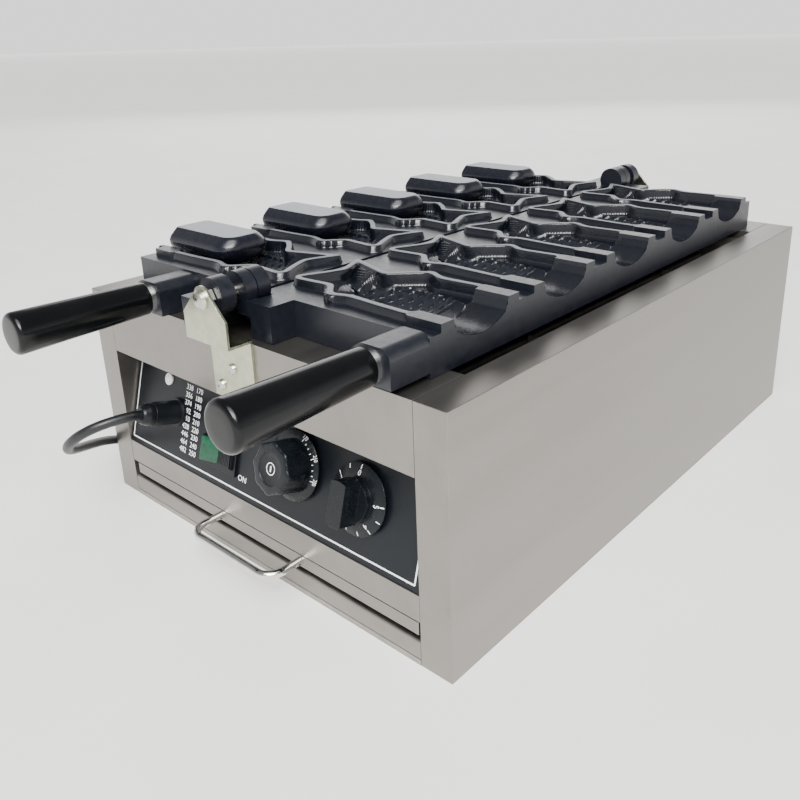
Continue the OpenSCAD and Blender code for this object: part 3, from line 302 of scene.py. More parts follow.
def finish(name, dark, light, grain, rough, stretch=(1, 1, 1), relief=0.0, cell=0.0, shell=None,
           top_sheen=None):
    """A finish: two tones, cloud size in mm, range of roughness, depth and grain size of a relief.

    A stretch under 1 draws the cloud out along an axis, shell sets more of the surface's values and
    the last argument is the tone of a painted sheen on flat tops, lighter in place of the light they
    reflect. Inputs 1 to 4 of Map Range are its two ranges.
    Mix takes its factor at 0, two numbers at 2 and 3, and two colours at 6 and 7.
    """
    made = bpy.data.materials.new(name)
    made.use_nodes = True
    tree = made.node_tree
    tree.nodes.clear()
    place = add(tree, "TexCoord").outputs["Object"]
    mm = add(tree, "VectorMath", {0: place, 1: tuple(s / MM for s in stretch)},
             operation="MULTIPLY").outputs[0]
    cloud = add(tree, "TexNoise",
                {"Vector": mm, "Scale": 1 / grain, "Detail": 4.0, "Roughness": 0.6}).outputs["Fac"]
    spread = {"Value": cloud, 1: CLOUD[0], 2: CLOUD[1]}
    tone = add(tree, "MapRange", spread).outputs[0]
    tones = {0: tone, 6: linear(dark), 7: linear(light)}
    colour = add(tree, "Mix", tones, data_type="RGBA").outputs[2]
    matt = add(tree, "MapRange", {**spread, 3: rough[0], 4: rough[1]}).outputs[0]
    # Painted sheen: masked flat tops get a lighter tone in place of the light they reflect, and more
    # roughness.
    if top_sheen:
        flat = add(tree, "Attribute", attribute_name="top_sheen").outputs["Fac"]
        tones = {0: flat, 6: colour, 7: linear(top_sheen)}
        colour = add(tree, "Mix", tones, data_type="RGBA").outputs[2]
        matt = add(tree, "Mix", {0: flat, 2: matt, 3: GROUND_ROUGH}).outputs[0]
    inputs = {"Base Color": colour, "Roughness": matt}
    if relief:
        height = cloud
        if cell:
            grains = add(tree, "TexVoronoi", {"Vector": mm, "Scale": 1 / cell}).outputs["Distance"]
            swells = add(tree, "TexNoise", {"Vector": mm, "Scale": SWELL / cell,
                                            "Detail": 3.0}).outputs["Fac"]
            height = add(tree, "Math", {0: grains, 1: swells}, operation="ADD").outputs[0]
        inputs["Normal"] = add(tree, "Bump", {"Height": height, "Strength": 1.0,
                                              "Distance": relief * MM}).outputs[0]
    inputs.update(shell or {})
    skin = add(tree, "BsdfPrincipled", inputs).outputs[0]
    add(tree, "OutputMaterial", {"Surface": skin})
    return made


print("White is", np.round(linear("#ffffff"), 3))

# %% [markdown]
# ## Metals
#
# The case is stainless sheet with a satin finish, rolled lengthways, so its cloud is drawn out along
# the sheet and its shine is soft. The brackets have a yellow-green passivated zinc, the screws and
# bolts plain nickel, and the drawer's pull is polished wire. A metal's colour is that of its
# reflection, so only tone and roughness tell them apart.

# %% Metal finishes
METAL = {"Metallic": 1.0}
# Rolled and brushed sheet: long pale streaks, and reflections without an outline.
satin_steel = finish("satin_stainless_steel", "#87837e", "#908c87", 30, (0.36, 0.44),
                     (1, 0.06, 1), 0.004, shell=METAL)
# Galvanised sheet inside: duller, with crystal patches about 12 mm wide.
inner_steel = finish("galvanised_inner_steel", "#8f8b86", "#a09c96", 12, (0.38, 0.5), shell=METAL)
# Zinc dipped in chromate: drifts between greenish and straw.
zinc = finish("yellow_passivated_zinc", "#a4ae96", "#c6c3ae", 9, (0.26, 0.38), shell=METAL)
# Nickel plate: a warm grey with small bright spots on heads and nuts.
nickel = finish("nickel_plated_screws", "#b9b6ac", "#cbc8be", 6, (0.2, 0.3), shell=METAL)
# Drawn wire under chrome: nearly a mirror.
bright = finish("bright_chromed_wire", "#d8d6d2", "#e2e0dc", 10, (0.08, 0.16), shell=METAL)
# Steel tube that has glowed: dark, matt and patchy.
sheath = finish("heater_sheath", "#4d4a47", "#5e5a56", 8, (0.4, 0.55), shell=METAL)
# Drawn copper with a touch of tarnish.
copper = finish("copper_capillary", "#a8683c", "#c08a5a", 6, (0.3, 0.45), shell=METAL)
print("Metal finishes:", len(bpy.data.materials))

# %% [markdown]
# ## Coats, plastics and ink
#
# The plates are cast and then coated, so the coat shows the grain of the sand. In the moulds it is
# thicker and glossier. The flat tops of rims and plugs get a painted sheen: a lighter grey that
# stands in for the light they reflect. Panel, knobs and grips are smooth. A black surface shows
# little but its shine, so a lower specular level keeps them dark.

# %% Coats, plastics and ink
MATT = {"Specular IOR Level": 0.25}
# Powder coat on sheet: fine, even and nearly without shine.
panel_black = finish("black_coated_panel", "#090d12", "#0d1217", 3, (0.34, 0.42), relief=0.01,
                     shell=MATT)
# Non-stick coat over a sand casting: bluish black with a soft, fine grain.
casting = finish("nonstick_coated_casting", "#0b0e15", "#12151d", 5, (0.30, 0.40),
                 relief=0.05, cell=0.8)
# The same coat in the moulds: glossy, so each scale catches the light. The rims' flat tops get a
# painted sheen, a lighter grey in place of the light they reflect.
mould_coat = finish("nonstick_mould_coat", "#080a10", "#0d1018", 4, (0.17, 0.25),
                    relief=0.05, cell=0.9, top_sheen="#5f6267")
# The same coat on the plugs: smoother, with a painted sheen, a lighter grey, on the flat tops.
plug_coat = finish("nonstick_plug_coat", "#0a0c14", "#10121c", 6, (0.22, 0.30),
                   relief=0.03, cell=0.8, top_sheen="#777a80")
# Moulded and polished phenolic: deep black with one soft line of light.
bakelite = finish("black_bakelite", "#050607", "#08090b", 20, (0.16, 0.22), shell=MATT)
# Terminal block and timer housing: pale, slightly uneven.
ceramic = finish("pale_moulded_plastic", "#d8d3c6", "#e4dfd3", 10, (0.4, 0.5))
# Nylon of gland, switch and plug: faintly grained from its mould.
black_plastic = finish("black_moulded_plastic", "#0a0c0f", "#0f1216", 8, (0.28, 0.36),
                       relief=0.01, shell=MATT)
# Phenolic of the knobs: a little glossier.
knob_plastic = finish("black_knob_plastic", "#0b0e11", "#101418", 8, (0.24, 0.32), relief=0.004,
                      shell=MATT)
# Milky polycarbonate lamp: glossy white, and light spreads a little inside it.
milky = finish("milky_lamp_lens", "#e4e4df", "#f2f2ee", 4, (0.15, 0.25),
               shell={"Subsurface Weight": 0.3, "Subsurface Radius": (0.003, 0.003, 0.003)})
# Clear green polycarbonate: deep and glossy, with a faint painted glow standing in for light caught
# in the lens.
green = finish("green_lens_painted_glow", "#022c1c", "#04442c", 4, (0.10, 0.16),
               shell={"Emission Color": linear("#0fae6a"), "Emission Strength": 0.03})
# Extruded rubber jacket: matt and faintly uneven.
rubber = finish("black_cord_jacket", "#0a0b0d", "#111316", 5, (0.35, 0.45), relief=0.02)
# Screen-printed white ink: flat and chalky.
ink = finish("white_printing", "#eef0f0", "#f6f7f7", 3, (0.45, 0.55))
print("Finishes:", len(bpy.data.materials))

# %% [markdown]
# ## The machine's own parts
#
# Folded or cut sheet has no sharp edge: a narrow rounding catches the light along every fold, and
# without it a part looks like paper. Modifiers do it, so the CAD meshes stay as they are: triangles
# are welded, each flat area becomes one face, so no sliver shows, and sharp edges are bevelled.

# %% Finishes and edges of the CAD parts
WELD_MM, EDGE_STEPS = 0.005, 3
FLAT_ANGLE, EDGE_ANGLE = math.radians(0.5), math.radians(35)


def dress(material, edge, *names):
    """Gives CAD nodes a finish and, with edge over 0, rounds their sharp edges by edge mm."""
    for name in names:
        made = nodes[name]
        made.data.materials.clear()
        made.data.materials.append(material)
        if edge:
            weld = made.modifiers.new("weld", "WELD")
            weld.merge_threshold = WELD_MM * MM
            flat = made.modifiers.new("flat", "DECIMATE")
            flat.decimate_type, flat.angle_limit = "DISSOLVE", FLAT_ANGLE
            bevel = made.modifiers.new("edge", "BEVEL")
            bevel.width, bevel.segments = edge * MM, EDGE_STEPS
            bevel.limit_method, bevel.angle_limit = "ANGLE", EDGE_ANGLE
            bevel.use_clamp_overlap = True
            even = made.modifiers.new("even", "WEIGHTED_NORMAL")
            even.keep_sharp = False


dress(satin_steel, 0.5, "left_side_panel", "right_side_panel", "front_upper_panel",
      "lower_front_strip", "base_front_rail", "rear_panel", "crumb_tray")
dress(inner_steel, 0, "base_pan", "heat_shield", "control_bulkhead", "element_supports",
      "tray_runners")
dress(panel_black, 0.5, "control_panel")
dress(casting, 0.7, "left_plate", "right_plate")
dress(plug_coat, 0, "mouth_plugs")
dress(bakelite, 0, "left_handle_grip", "right_handle_grip")
dress(zinc, 0.35, "front_hinge_bracket", "rear_hinge_bracket")
dress(nickel, 0, "bracket_screws", "front_pivot_bolt", "rear_pivot_bolt", "pivot_nuts",
      "plug_screws", "thermostat_body", "thermostat_shaft", "timer_shaft")
dress(bright, 0, "tray_handle", "left_handle_rod", "right_handle_rod", "left_handle_ferrule",
      "right_handle_ferrule")
dress(sheath, 0, "left_heating_element", "right_heating_element")
dress(copper, 0, "thermostat_bulb")
dress(ceramic, 0, "terminal_block", "timer_body")
dress(milky, 0, "indicator_lamp")
dress(black_plastic, 0.4, "switch_body", "cable_gland", "gland_nut", "gland_locknut", "rocker",
      "plug")
dress(knob_plastic, 0.5, "temperature_dial", "temperature_knob", "temperature_cap", "timer_knob")
print("Dressed:", sum(1 for n in nodes.values() if n.data.materials))

# %% [markdown]
# ## Mains lead
#
# A round rubber lead comes out of the gland, bends down round the front corner and runs back along
# the case. The rest lies beside the machine, wound inwards for two turns and out again on top, with
# a tie and the plug. The free stretch is a line of given points, because a real lead hangs as it
# likes. The coil is a formula, because it was wound evenly.

# %% Route of the lead
CORD_R, CORD_SIDES = 4.1, 20
GLAND, GLAND_OUT = (-108.0, 43.0), 36.0
COIL_X, COIL_Y = -279.5, 260.0
OUTER_R, INNER_R, LOOP_STEP = 56.0, 38.0, 9.0
TURN_STEPS, TURNS = 24, 4
TAIL_RUN = 26.0  # the free end runs this far back before the plug
PLUG_Y = 316.0
tip = on_panel([0.0, 0.0, GLAND_OUT], *GLAND)
free = np.array([
    [-108, -32, 108.5], [-112.5, -47, 108], [-120, -58.5, 104], [-130, -65.5, 97],
    [-142, -67.5, 87.5], [-153, -64, 78.5], [-166, -54, 70], [-180, -40.5, 62],
    [-193, -25.5, 54.5], [-202.5, -10.5, 48], [-208.5, 6, 41], [-212, 24, 33.5],
    [-214.5, 43, 25.5], [-216.5, 62, 18], [-218, 82, 11.5], [-219.5, 103, 6.5],
    [-220.5, 125, 4.3], [-221.5, 149, 4.1], [-222.5, 175, 4.1], [-223, 201, 4.1],
    [-223.5, 228, 4.1]])
turn = np.arange(TURNS * TURN_STEPS + 1) / TURN_STEPS
swing = np.clip((turn - 2) * 2, 0, 1)  # the half turn in which the lead climbs a layer
reach = np.where(turn <= 2, OUTER_R - LOOP_STEP * turn,
                 np.where(turn <= 2.5, INNER_R - 4.5 * swing * (1 - swing),
                          INNER_R + LOOP_STEP * (turn - 2.5)))
rise = CORD_R + LOOP_STEP * swing * swing * (3 - 2 * swing)
coil = np.stack([COIL_X + reach * np.cos(2 * np.pi * turn),
                 COIL_Y + reach * np.sin(2 * np.pi * turn), rise], -1)
straight = np.array([0.0, 2 * CORD_R, 0.0])
line = np.concatenate([[tip], free, coil[:1] - straight, coil, coil[-1:] + straight,
                       coil[-1:] + [0, TAIL_RUN, 0], [[coil[-1, 0], PLUG_Y, CORD_R + LOOP_STEP]]])


def smooth_line(p, per=5):
    """Catmull-Rom curve through the points: cubic with tangents (p[i+1] - p[i-1]) / 2."""
    q = np.concatenate([2 * p[:1] - p[1:2], p, 2 * p[-1:] - p[-2:-1]])
    a, b, c, d = q[:-3], q[1:-2], q[2:-1], q[3:]
    f = (np.arange(per) / per)[None, :, None]
    a, b, c, d = (v[:, None] for v in (a, b, c, d))
    curve = 0.5 * (2 * b + (c - a) * f + (2 * a - 5 * b + 4 * c - d) * f ** 2
                   + (3 * b - a - 3 * c + d) * f ** 3)
    return np.concatenate([curve.reshape(-1, 3), p[-1:]])


route = smooth_line(line)

# %% Lead and its tie
cord = piece("mains_lead", [capped(tube(route, CORD_R, CORD_SIDES))], "case", rubber,
             ("power_cord", "cord_coil"), angle=60)
TIE_AT, TIE_R, TIE_Z = math.radians(135), 47.3, 9.45
band = rounded(14.6, 9.4, 6.0, 8)
band_rows = np.stack([band * k for k in (0.93, 1.0, 1.0, 0.93)])
radial = TIE_R + band_rows[..., 0]
along = np.broadcast_to(np.array([-4.0, -3.6, 3.6, 4.0])[:, None], radial.shape)
tie_points = np.stack([COIL_X + radial * math.cos(TIE_AT) - along * math.sin(TIE_AT),
                       COIL_Y + radial * math.sin(TIE_AT) + along * math.cos(TIE_AT),
                       TIE_Z + band_rows[..., 1]], -1)
tie = piece("cord_tie", [capped(tie_points)], "case", black_plastic)
metres(tip)
metres(route)
print("Tie at", round(math.degrees(TIE_AT)), "degrees of the coil")

# %% [markdown]
# ## Outline of a fish mould
#
# Each mould is a hollow shaped like a fish, its mouth open to the plate's edge, with a raised rim
# round it. The plan has one point for each corner, and the rim's edges are the plan set off to both
# sides, with the corners eased by a curve. A boolean cut would leave knife edges at the corners, but
# the eased lines let one surface run over the whole rim.

# %% Outline of the fish
# From the tail's upper tip round the belly to the mouth and back over the dorsal fin, in mm.
FISH = np.array([[12.5, 34], [23, 10], [17, -5], [8.5, -22], [12, -27], [45, -24], [60, -39.5],
                 [75, -34], [104, -36], [132, -37], [136.5, -31], [136.5, 31], [134, 38],
                 [97.5, 35.5], [82.5, 43], [68, 32], [56, 20]])
RIM_HALF, SKIN = 2.25, 0.15  # half the rim's width, and the coat over the casting
LIP_Y, END_X = 28.95, 162.55  # half the open mouth, and the plate's edge
LAND = 4.8  # the mouth's land is this wide
LAND_IN_X, LAND_OUT_X = 134.9, 141.0
CORNER, CORNER_STEPS = 5.0, 12
order = np.r_[11:17, 0:11]  # the plan from the mouth's upper corner to its lower one
flip = np.array([1, -1])


def set_off(line, d):
    """A closed outline moved left by d with mitred corners: p + d (a + b) / (1 + a.b)."""
    on = np.roll(line, -1, 0) - line
    on /= np.linalg.norm(on, axis=1)[:, None]
    a = np.stack([-on[:, 1], on[:, 0]], -1)
    b = np.roll(a, 1, 0)
    return line + d * (a + b) / (1 + (a * b).sum(1, keepdims=True))


def eased(corners, reach, steps):
    """An open line with each inner corner replaced by the curve a(1-f)^2 + 2pf(1-f) + bf^2."""
    p, back, on = corners[1:-1], corners[:-2], corners[2:]
    lb = np.linalg.norm(back - p, axis=1)[:, None]
    lo = np.linalg.norm(on - p, axis=1)[:, None]
    a = p + (back - p) / lb * np.minimum(reach, lb * 0.4)
    b = p + (on - p) / lo * np.minimum(reach, lo * 0.4)
    f = np.linspace(0, 1, steps)[None, :, None]
    curve = a[:, None] * (1 - f) ** 2 + 2 * p[:, None] * f * (1 - f) + b[:, None] * f ** 2
    return np.concatenate([corners[:1], curve.reshape(-1, 2), corners[-1:]])


def rim_edge(d, land_x, land_y):
    """The rim's edge at distance d inside the plan, with the mouth's land at both ends."""
    land = np.array([[END_X, land_y], [land_x, land_y]])
    corners = np.concatenate([land, set_off(FISH, d)[order], (land * flip)[::-1]])
    return eased(corners, CORNER, CORNER_STEPS)


inner_line = rim_edge(RIM_HALF + SKIN, LAND_IN_X, LIP_Y)
outer_line = rim_edge(-RIM_HALF - SKIN, LAND_OUT_X, LIP_Y + LAND)
run = np.concatenate([[0], np.cumsum(np.linalg.norm(np.diff(inner_line, axis=0), axis=1))])
print("Inner edge", round(float(run[-1]), 1), "mm long")

# %% [markdown]
# ## Columns of the grid
#
# Each column starts at a station on the rim and ends on a middle line inside the fish. Along the
# flanks the middle line runs from the mouth to the tail, step for step with the stations, and round
# the tail all columns meet in its end. So the columns never cross.

# %% Stations and middle line
TAIL_X, TAIL_Y, BEND_X = 30.0, 4.0, 60.0
SIDE_COUNT, TAIL_COUNT = 210, 170


def crossing(i, j):
    """Length along the inner edge where it passes TAIL_X between its points i and j."""
    (xa, xb), (ra, rb) = inner_line[[i, j], 0], run[[i, j]]
    return ra + (TAIL_X - xa) * (rb - ra) / (xb - xa)


in_tail = np.flatnonzero(inner_line[:, 0] < TAIL_X)
run_a = crossing(in_tail[0] - 1, in_tail[0])
run_b = crossing(in_tail[-1], in_tail[-1] + 1)
stations = np.concatenate([np.linspace(0, run_a, SIDE_COUNT, endpoint=False),
                           np.linspace(run_a, run_b, TAIL_COUNT),
                           np.linspace(run_b, run[-1], SIDE_COUNT + 1)[1:]])


def sampled(line):
    """The line's points at the stations."""
    return np.stack([np.interp(stations, run, line[:, k]) for k in (0, 1)], -1)


inner, outer = sampled(inner_line), sampled(outer_line)
ahead = np.gradient(inner, axis=0)
ahead /= np.linalg.norm(ahead, axis=1)[:, None]
inward = np.stack([-ahead[:, 1], ahead[:, 0]], -1)
flank_x = END_X + (TAIL_X - END_X) * np.arange(SIDE_COUNT) / SIDE_COUNT
spine_x = np.concatenate([flank_x, np.full(TAIL_COUNT, TAIL_X), flank_x[::-1]])
bent = np.clip((BEND_X - spine_x) / (BEND_X - TAIL_X), 0, 1)
spine = np.stack([spine_x, TAIL_Y * bent ** 2 * (3 - 2 * bent)], -1)
print(len(stations), "stations, of which", TAIL_COUNT, "round the tail")

# %% [markdown]
# ## Depth of the hollow
#
# The hollow is the fish's negative: a round belly that tapers to both ends, shallow fins beside it,
# and in front of the mouth a plain trough for the plug. Each is a simple height over the plan. The
# lower of belly and fin counts, with the crease between them filled, and a smooth step leads from
# the fish to the trough.

# %% Depth of the fish
BELLY_AXIS, BELLY_R = 239.3, 34.3  # height of the belly's axis, and its largest radius
TAPER_R, WIDEST_X = 255.0, 95.0  # it tapers along a circle, from its widest place
ROOT_RISE = 4.0  # the belly runs out by this much towards the tail
FIN_Z, FIN_FALL, FIN_BACK = 218.4, 4.6, 1.6
CREASE, CREASE_FILL = 1.8, 0.45
TROUGH_AXIS, TROUGH_R, TROUGH_HALF = 256.54, 48.54, 25.6
TROUGH_WALL_Z, TROUGH_DRAFT, TROUGH_COAT = 215.3, 0.35, 0.25
TROUGH_X = (131.6, 134.2)


def ramp(v, low, high):
    """Smooth step from 0 at low to 1 at high: f^2 (3 - 2f)."""
    f = np.clip((v - low) / (high - low), 0, 1)
    return f * f * (3 - 2 * f)


def depth(p):
    """Height of the hollow: the lower of the belly, axis - sqrt(R^2 - y^2), and the fins."""
    x, y = p[..., 0], np.abs(p[..., 1])
    r = BELLY_R - (TAPER_R - np.sqrt(TAPER_R ** 2 - np.clip(x - WIDEST_X, -100, 100) ** 2))
    belly = BELLY_AXIS - np.sqrt(np.clip(r * r - y * y, 1, None)) + ROOT_RISE * (1 - ramp(x, 22, 44))
    fin = FIN_Z - FIN_FALL * ramp(x, 12, 44) + FIN_BACK * ramp(x, 46, 60)
    near = np.clip(CREASE - np.abs(belly - fin), 0, None) / CREASE
    fish = np.minimum(belly, fin) + CREASE_FILL * near * near
    bed = TROUGH_AXIS - np.sqrt(TROUGH_R ** 2 - np.clip(y, 0, TROUGH_HALF) ** 2)
    wall = TROUGH_WALL_Z + (y - TROUGH_HALF) / TROUGH_DRAFT
    trough = np.where(y < TROUGH_HALF, bed, wall) + TROUGH_COAT
    return fish + (trough - fish) * ramp(x, *TROUGH_X)


print("Deepest", round(float(RIM_Z - depth(np.array([WIDEST_X, 0.0]))), 1), "mm under the rims")

# %% [markdown]
# ## Scales, rays and gill
#
# The scales overlap towards the tail on the baked fish, so in the mould each one is a disc that
# sinks towards its tail side and ends in a small step. The columns of discs are staggered, and each
# covers the next one towards the tail. The tail's rays are a cosine of the angle about a point far
# in the body, which spreads them like a fan. All are heights, added to the bed.

# %% Relief on the bed
SCALE_R, SCALE_STEP, SCALE_W = 5.9, 4.85, 11.2
SCALE_X, SCALE_Y = 64.8, 6.1  # middle of one scale
SCALE_LIFT, SCALE_DEPTH = 0.8, 1.9
RAY_X, RAY_Y, RAY_ANGLE, RAY_H = 92.0, 12.0, 0.041, 1.2
GILL_X, GILL_Y, GILL_R, GILL_W, GILL_H = 136.0, 2.0, 24.0, 1.3, 0.8


def scales(x, y):
    """Staggered columns of discs with d from 0 in the middle to 1: height -(1/4 + 3/4 d^2)."""
    height = np.zeros_like(x)
    first = np.ceil((x - SCALE_X - SCALE_R) / SCALE_STEP)
    for nearer in range(3):
        column = first + nearer
        cx, cy = SCALE_X + SCALE_STEP * column, SCALE_Y + SCALE_W / 2 * (column % 2)
        cy = cy + SCALE_W * np.round((y - cy) / SCALE_W)
        d = np.hypot(x - cx, y - cy) / SCALE_R
        height = np.where(d < 1, -0.25 - 0.75 * d * d, height)
    return height


def relief(p):
    """Scales on the flank, rays (1/2 + 1/2 cos)^0.7 on the tail and an arc for the gill, in mm."""
    x, y = p[..., 0], p[..., 1]
    root = 38 + 0.7 * np.clip(y, 0, 30)
    flank = ramp(x, root, root + 4) * (1 - ramp(x, 112, 118)) * (1 - ramp(np.abs(y), 26, 31))
    angle = np.arctan2(y - RAY_Y, RAY_X - x)
    rays = RAY_H * (0.5 + 0.5 * np.cos(angle * 2 * np.pi / RAY_ANGLE)) ** 0.7
    tail = ramp(x, 14, 18) * (1 - ramp(x, root - 2, root + 1)) * ramp(y, -16, -12)
    from_arc = (np.hypot(x - GILL_X, y - GILL_Y) - GILL_R) / GILL_W
    gill = np.exp(-from_arc ** 2) * GILL_H * (1 - ramp(x, 118, 128))
    return (SCALE_LIFT + SCALE_DEPTH * scales(x, y)) * flank + rays * tail + gill


print("A scale's step is", round(SCALE_DEPTH * 0.75, 2), "mm at most")

# %% [markdown]
# ## Walls, bed and rim
#
# A casting comes out of the sand because its walls lean, and a fillet joins each wall to the bed.
# The inner wall has rough ribs at the back fin and a wavy step at the belly fin, and the far side of
# the tail slants up to the rim. The rim was ground flat on top, and a few flutes mark its outside at
# the belly fin. The grid's rows run from the rim's foot over its top, down the wall and across the
# bed.

# %% Inner wall and bed
BED_ROWS = 56
WALL_IN, LIP_IN = 1.2, 3.5  # how far the wall leans in, round the fish and at the mouth
WALL_STEPS = np.array([0.12, 0.25, 0.4, 0.55, 0.7, 0.85])[:, None]
RIM_EDGE = 0.8  # the rim's edges are rounded over this height
RIB, RIB_PITCH, STEP_WAVE, STEP_PITCH = 0.45, 5.2, 0.5, 3.4
FILLET, LIP_FILLET = 2.2, 0.3
SLANT_TOP, SLANT = 2.2, 0.50  # the tail's slant starts under the rim and falls 1 in 2
at_lip = ramp(inner[:, 0], 133.0, 136.0)
wall_in = WALL_IN + (LIP_IN - WALL_IN) * at_lip
ribbed = ramp(inner[:, 0], 60, 64) * (1 - ramp(inner[:, 0], 100, 104)) * (inner[:, 1] > 25)
waves = RIB * ribbed * np.sin(stations * 2 * np.pi / RIB_PITCH)
stepped = (inner[:, 0] > 42) * (inner[:, 0] < 62) * (inner[:, 1] < -18)
waves = np.abs(waves + STEP_WAVE * stepped * np.sin(stations * 2 * np.pi / STEP_PITCH))
foot = inner + inward * (wall_in + waves)[:, None]
on_land = np.maximum(ramp(outer[:, 0], 130.5, 133.0), at_lip)
top = RIM_Z + 0.10 * (1 - on_land) - 0.04 * on_land
away = spine - inner
gap = np.linalg.norm(away, axis=1)
lean = np.clip((away * inward).sum(1) / gap, 0.2, 1)
w = np.linspace(0, 1, BED_ROWS)[:, None, None]
bed = foot[None] + (spine - foot)[None] * w
inside = w[..., 0] * (gap * lean)[None]
fillet = FILLET * (1 - at_lip) + LIP_FILLET * at_lip
curl = np.clip(1 - inside / fillet[None], 0, 1)
far_fin = ramp(inner[:, 1], 8, 18) * (1 - ramp(inner[:, 0], 44, 57))
slant = top - SLANT_TOP - SLANT * inside - 30 * (1 - far_fin)
bed_z = np.maximum(depth(bed) + fillet * (1 - np.sqrt(1 - curl * curl)), slant)
clear = np.maximum(ramp(inside, 0.8, 2.8), far_fin * ramp(inside, 0.2, 1.5))
bed_z = np.minimum(bed_z + relief(bed) * clear, top[None] - 0.2)
wall = inner[None] + inward[None] * (wall_in * WALL_STEPS)[..., None] \
    + inward[None] * (waves * np.sqrt(WALL_STEPS))[..., None]
wall_z = top[None] - RIM_EDGE + (bed_z[0] - top + RIM_EDGE)[None] * WALL_STEPS
print("Bed from", round(float(bed_z.min()), 1), "to", round(float(bed_z.max()), 1), "mm")

# %% Rim and whole grid
FLUTE, FLUTE_PITCH = 0.7, 5.4
across_rim = outer - inner
out = across_rim / np.linalg.norm(across_rim, axis=1)[:, None]
fluted = ramp(outer[:, 0], 46, 49) * (1 - ramp(outer[:, 0], 64, 67)) * (outer[:, 1] < -20)
flutes = (FLUTE * fluted * (np.sin(stations * 2 * np.pi / FLUTE_PITCH) + 1))[:, None]
flat_floor = np.full(len(top), FLOOR_Z)
rim = [(outer + out * 2.4, flat_floor - 0.4), (outer + out * 1.7, flat_floor + 0.15),
       (outer + out * (1.2 + flutes), flat_floor + 1.0),
       (outer + out * (0.3 + flutes), top - 0.9),
       (outer - out * 0.25, top - 0.25), (outer - out * RIM_EDGE, top),
       (inner + out * RIM_EDGE, top), (inner + out * 0.25, top - 0.25), (inner, top - RIM_EDGE)]
top_sheen = np.zeros((len(rim) + len(wall) + BED_ROWS, len(top)))
top_sheen[5:7] = 1.0  # painted sheen on the two rows of the rim's flat top
rows_xy = np.concatenate([np.stack([r[0] for r in rim]), wall, bed])
rows_z = np.concatenate([np.stack([r[1] for r in rim]), wall_z, bed_z])
mould = np.concatenate([rows_xy, rows_z[..., None]], -1)
print("Mould grid", mould.shape[:2])

# %% Ten moulds
for i, y in enumerate(FISH_Y):
    spot = mould + [0, y, 0]
    for side, points in (("right", spot), ("left", mirrored(spot))):
        piece(f"{side}_mould_{i + 1}", [(points, False)], f"{side}_half", mould_coat,
              angle=50, closed=False, up=True, top_sheen=top_sheen)
print("Moulds laid:", 2 * len(FISH_Y))

# %% [markdown]
# ## Mouth plugs
#
# Five loaf-shaped cores on the left plate keep the fish's mouths open while the batter sets. Each is
# broad and round at the nose, square at the plate's edge, and drawn in below and above. Its top is
# flat, and a painted sheen makes it greyer than the glossy sides, in place of the light it reflects.
# A few rows say how far back, how wide and how round the loaf is at each height, and the rings
# between them are interpolated.

# %% Plugs
NOSE_X, PLUG_END_X, PLUG_CORNER = 70.0, 161.1, 3.0
PLUG_RINGS, NOSE_POINTS, SIDE_POINTS = 40, 14, 20
# Height over the rims, nose set back, half width and radius of the nose's corners, in mm.
PLUG_ROWS = np.array([[-12.3, 24, 14, 10], [-7.5, 15, 19.6, 13], [-3.0, 11, 23.4, 15.5],
                      [0.5, 9, 24.8, 16.8], [3.7, 8.4, 25.1, 17], [6.8, 8.8, 23.6, 16],
                      [9.5, 9.8, 20.9, 14.4], [11.6, 11.4, 18.5, 12.2], [12.6, 12.6, 17.2, 11],
                      [13.1, 13.6, 16.6, 10.4], [13.35, 14.4, 16.1, 10], [13.4, 15.6, 15.5, 9.6]])


def plug_outline(back, half, r):
    """Nose corners of radius r at NOSE_X + back, straight sides, and a square end."""
    a = np.linspace(0, np.pi / 2, NOSE_POINTS)
    c, s = np.cos(a), np.sin(a)
    nose, end, small = NOSE_X + back, PLUG_END_X - PLUG_CORNER, PLUG_CORNER
    side = np.linspace(nose + r, end, SIDE_POINTS)[1:-1]
    upper = np.concatenate([np.stack([nose + r - r * c, half - r + r * s], -1),
                            np.stack([side, np.full(len(side), half)], -1),
                            np.stack([end + small * s, half - small + small * c], -1)])
    return np.concatenate([upper, (upper * flip)[::-1]])


at_row = np.linspace(0, len(PLUG_ROWS) - 1, PLUG_RINGS)
levels = np.stack([np.interp(at_row, np.arange(len(PLUG_ROWS)), column)
                   for column in PLUG_ROWS.T], -1)
outlines = np.stack([plug_outline(*sizes) for sizes in levels[:, 1:]])
heights = np.broadcast_to(RIM_Z + levels[:, :1, None], outlines[..., :1].shape)
loaf = np.concatenate([outlines, heights], -1)
loaf_top_sheen = np.zeros((len(loaf) + 2, loaf.shape[1]))
loaf_top_sheen[-2:] = 1.0  # painted sheen on the last ring and the cap that closes it
piece("mouth_cores", [capped(mirrored(loaf + [0, y, 0])) for y in FISH_Y], "left_half",
      plug_coat, ("mouth_plugs",), angle=50,
      top_sheen=np.tile(loaf_top_sheen, (len(FISH_Y), 1)))
print("Plugs:", len(FISH_Y), "of", loaf.shape[:2], "points")

# %% [markdown]
# ## Grips
#
# The handles are phenolic grips that swell towards a rounded end, so the hand can't slip off. One
# profile is turned about the rod's axis. The two aren't mirror images: the left one sits closer to
# the hinge and a little lower, so folded handles don't lie on one another.

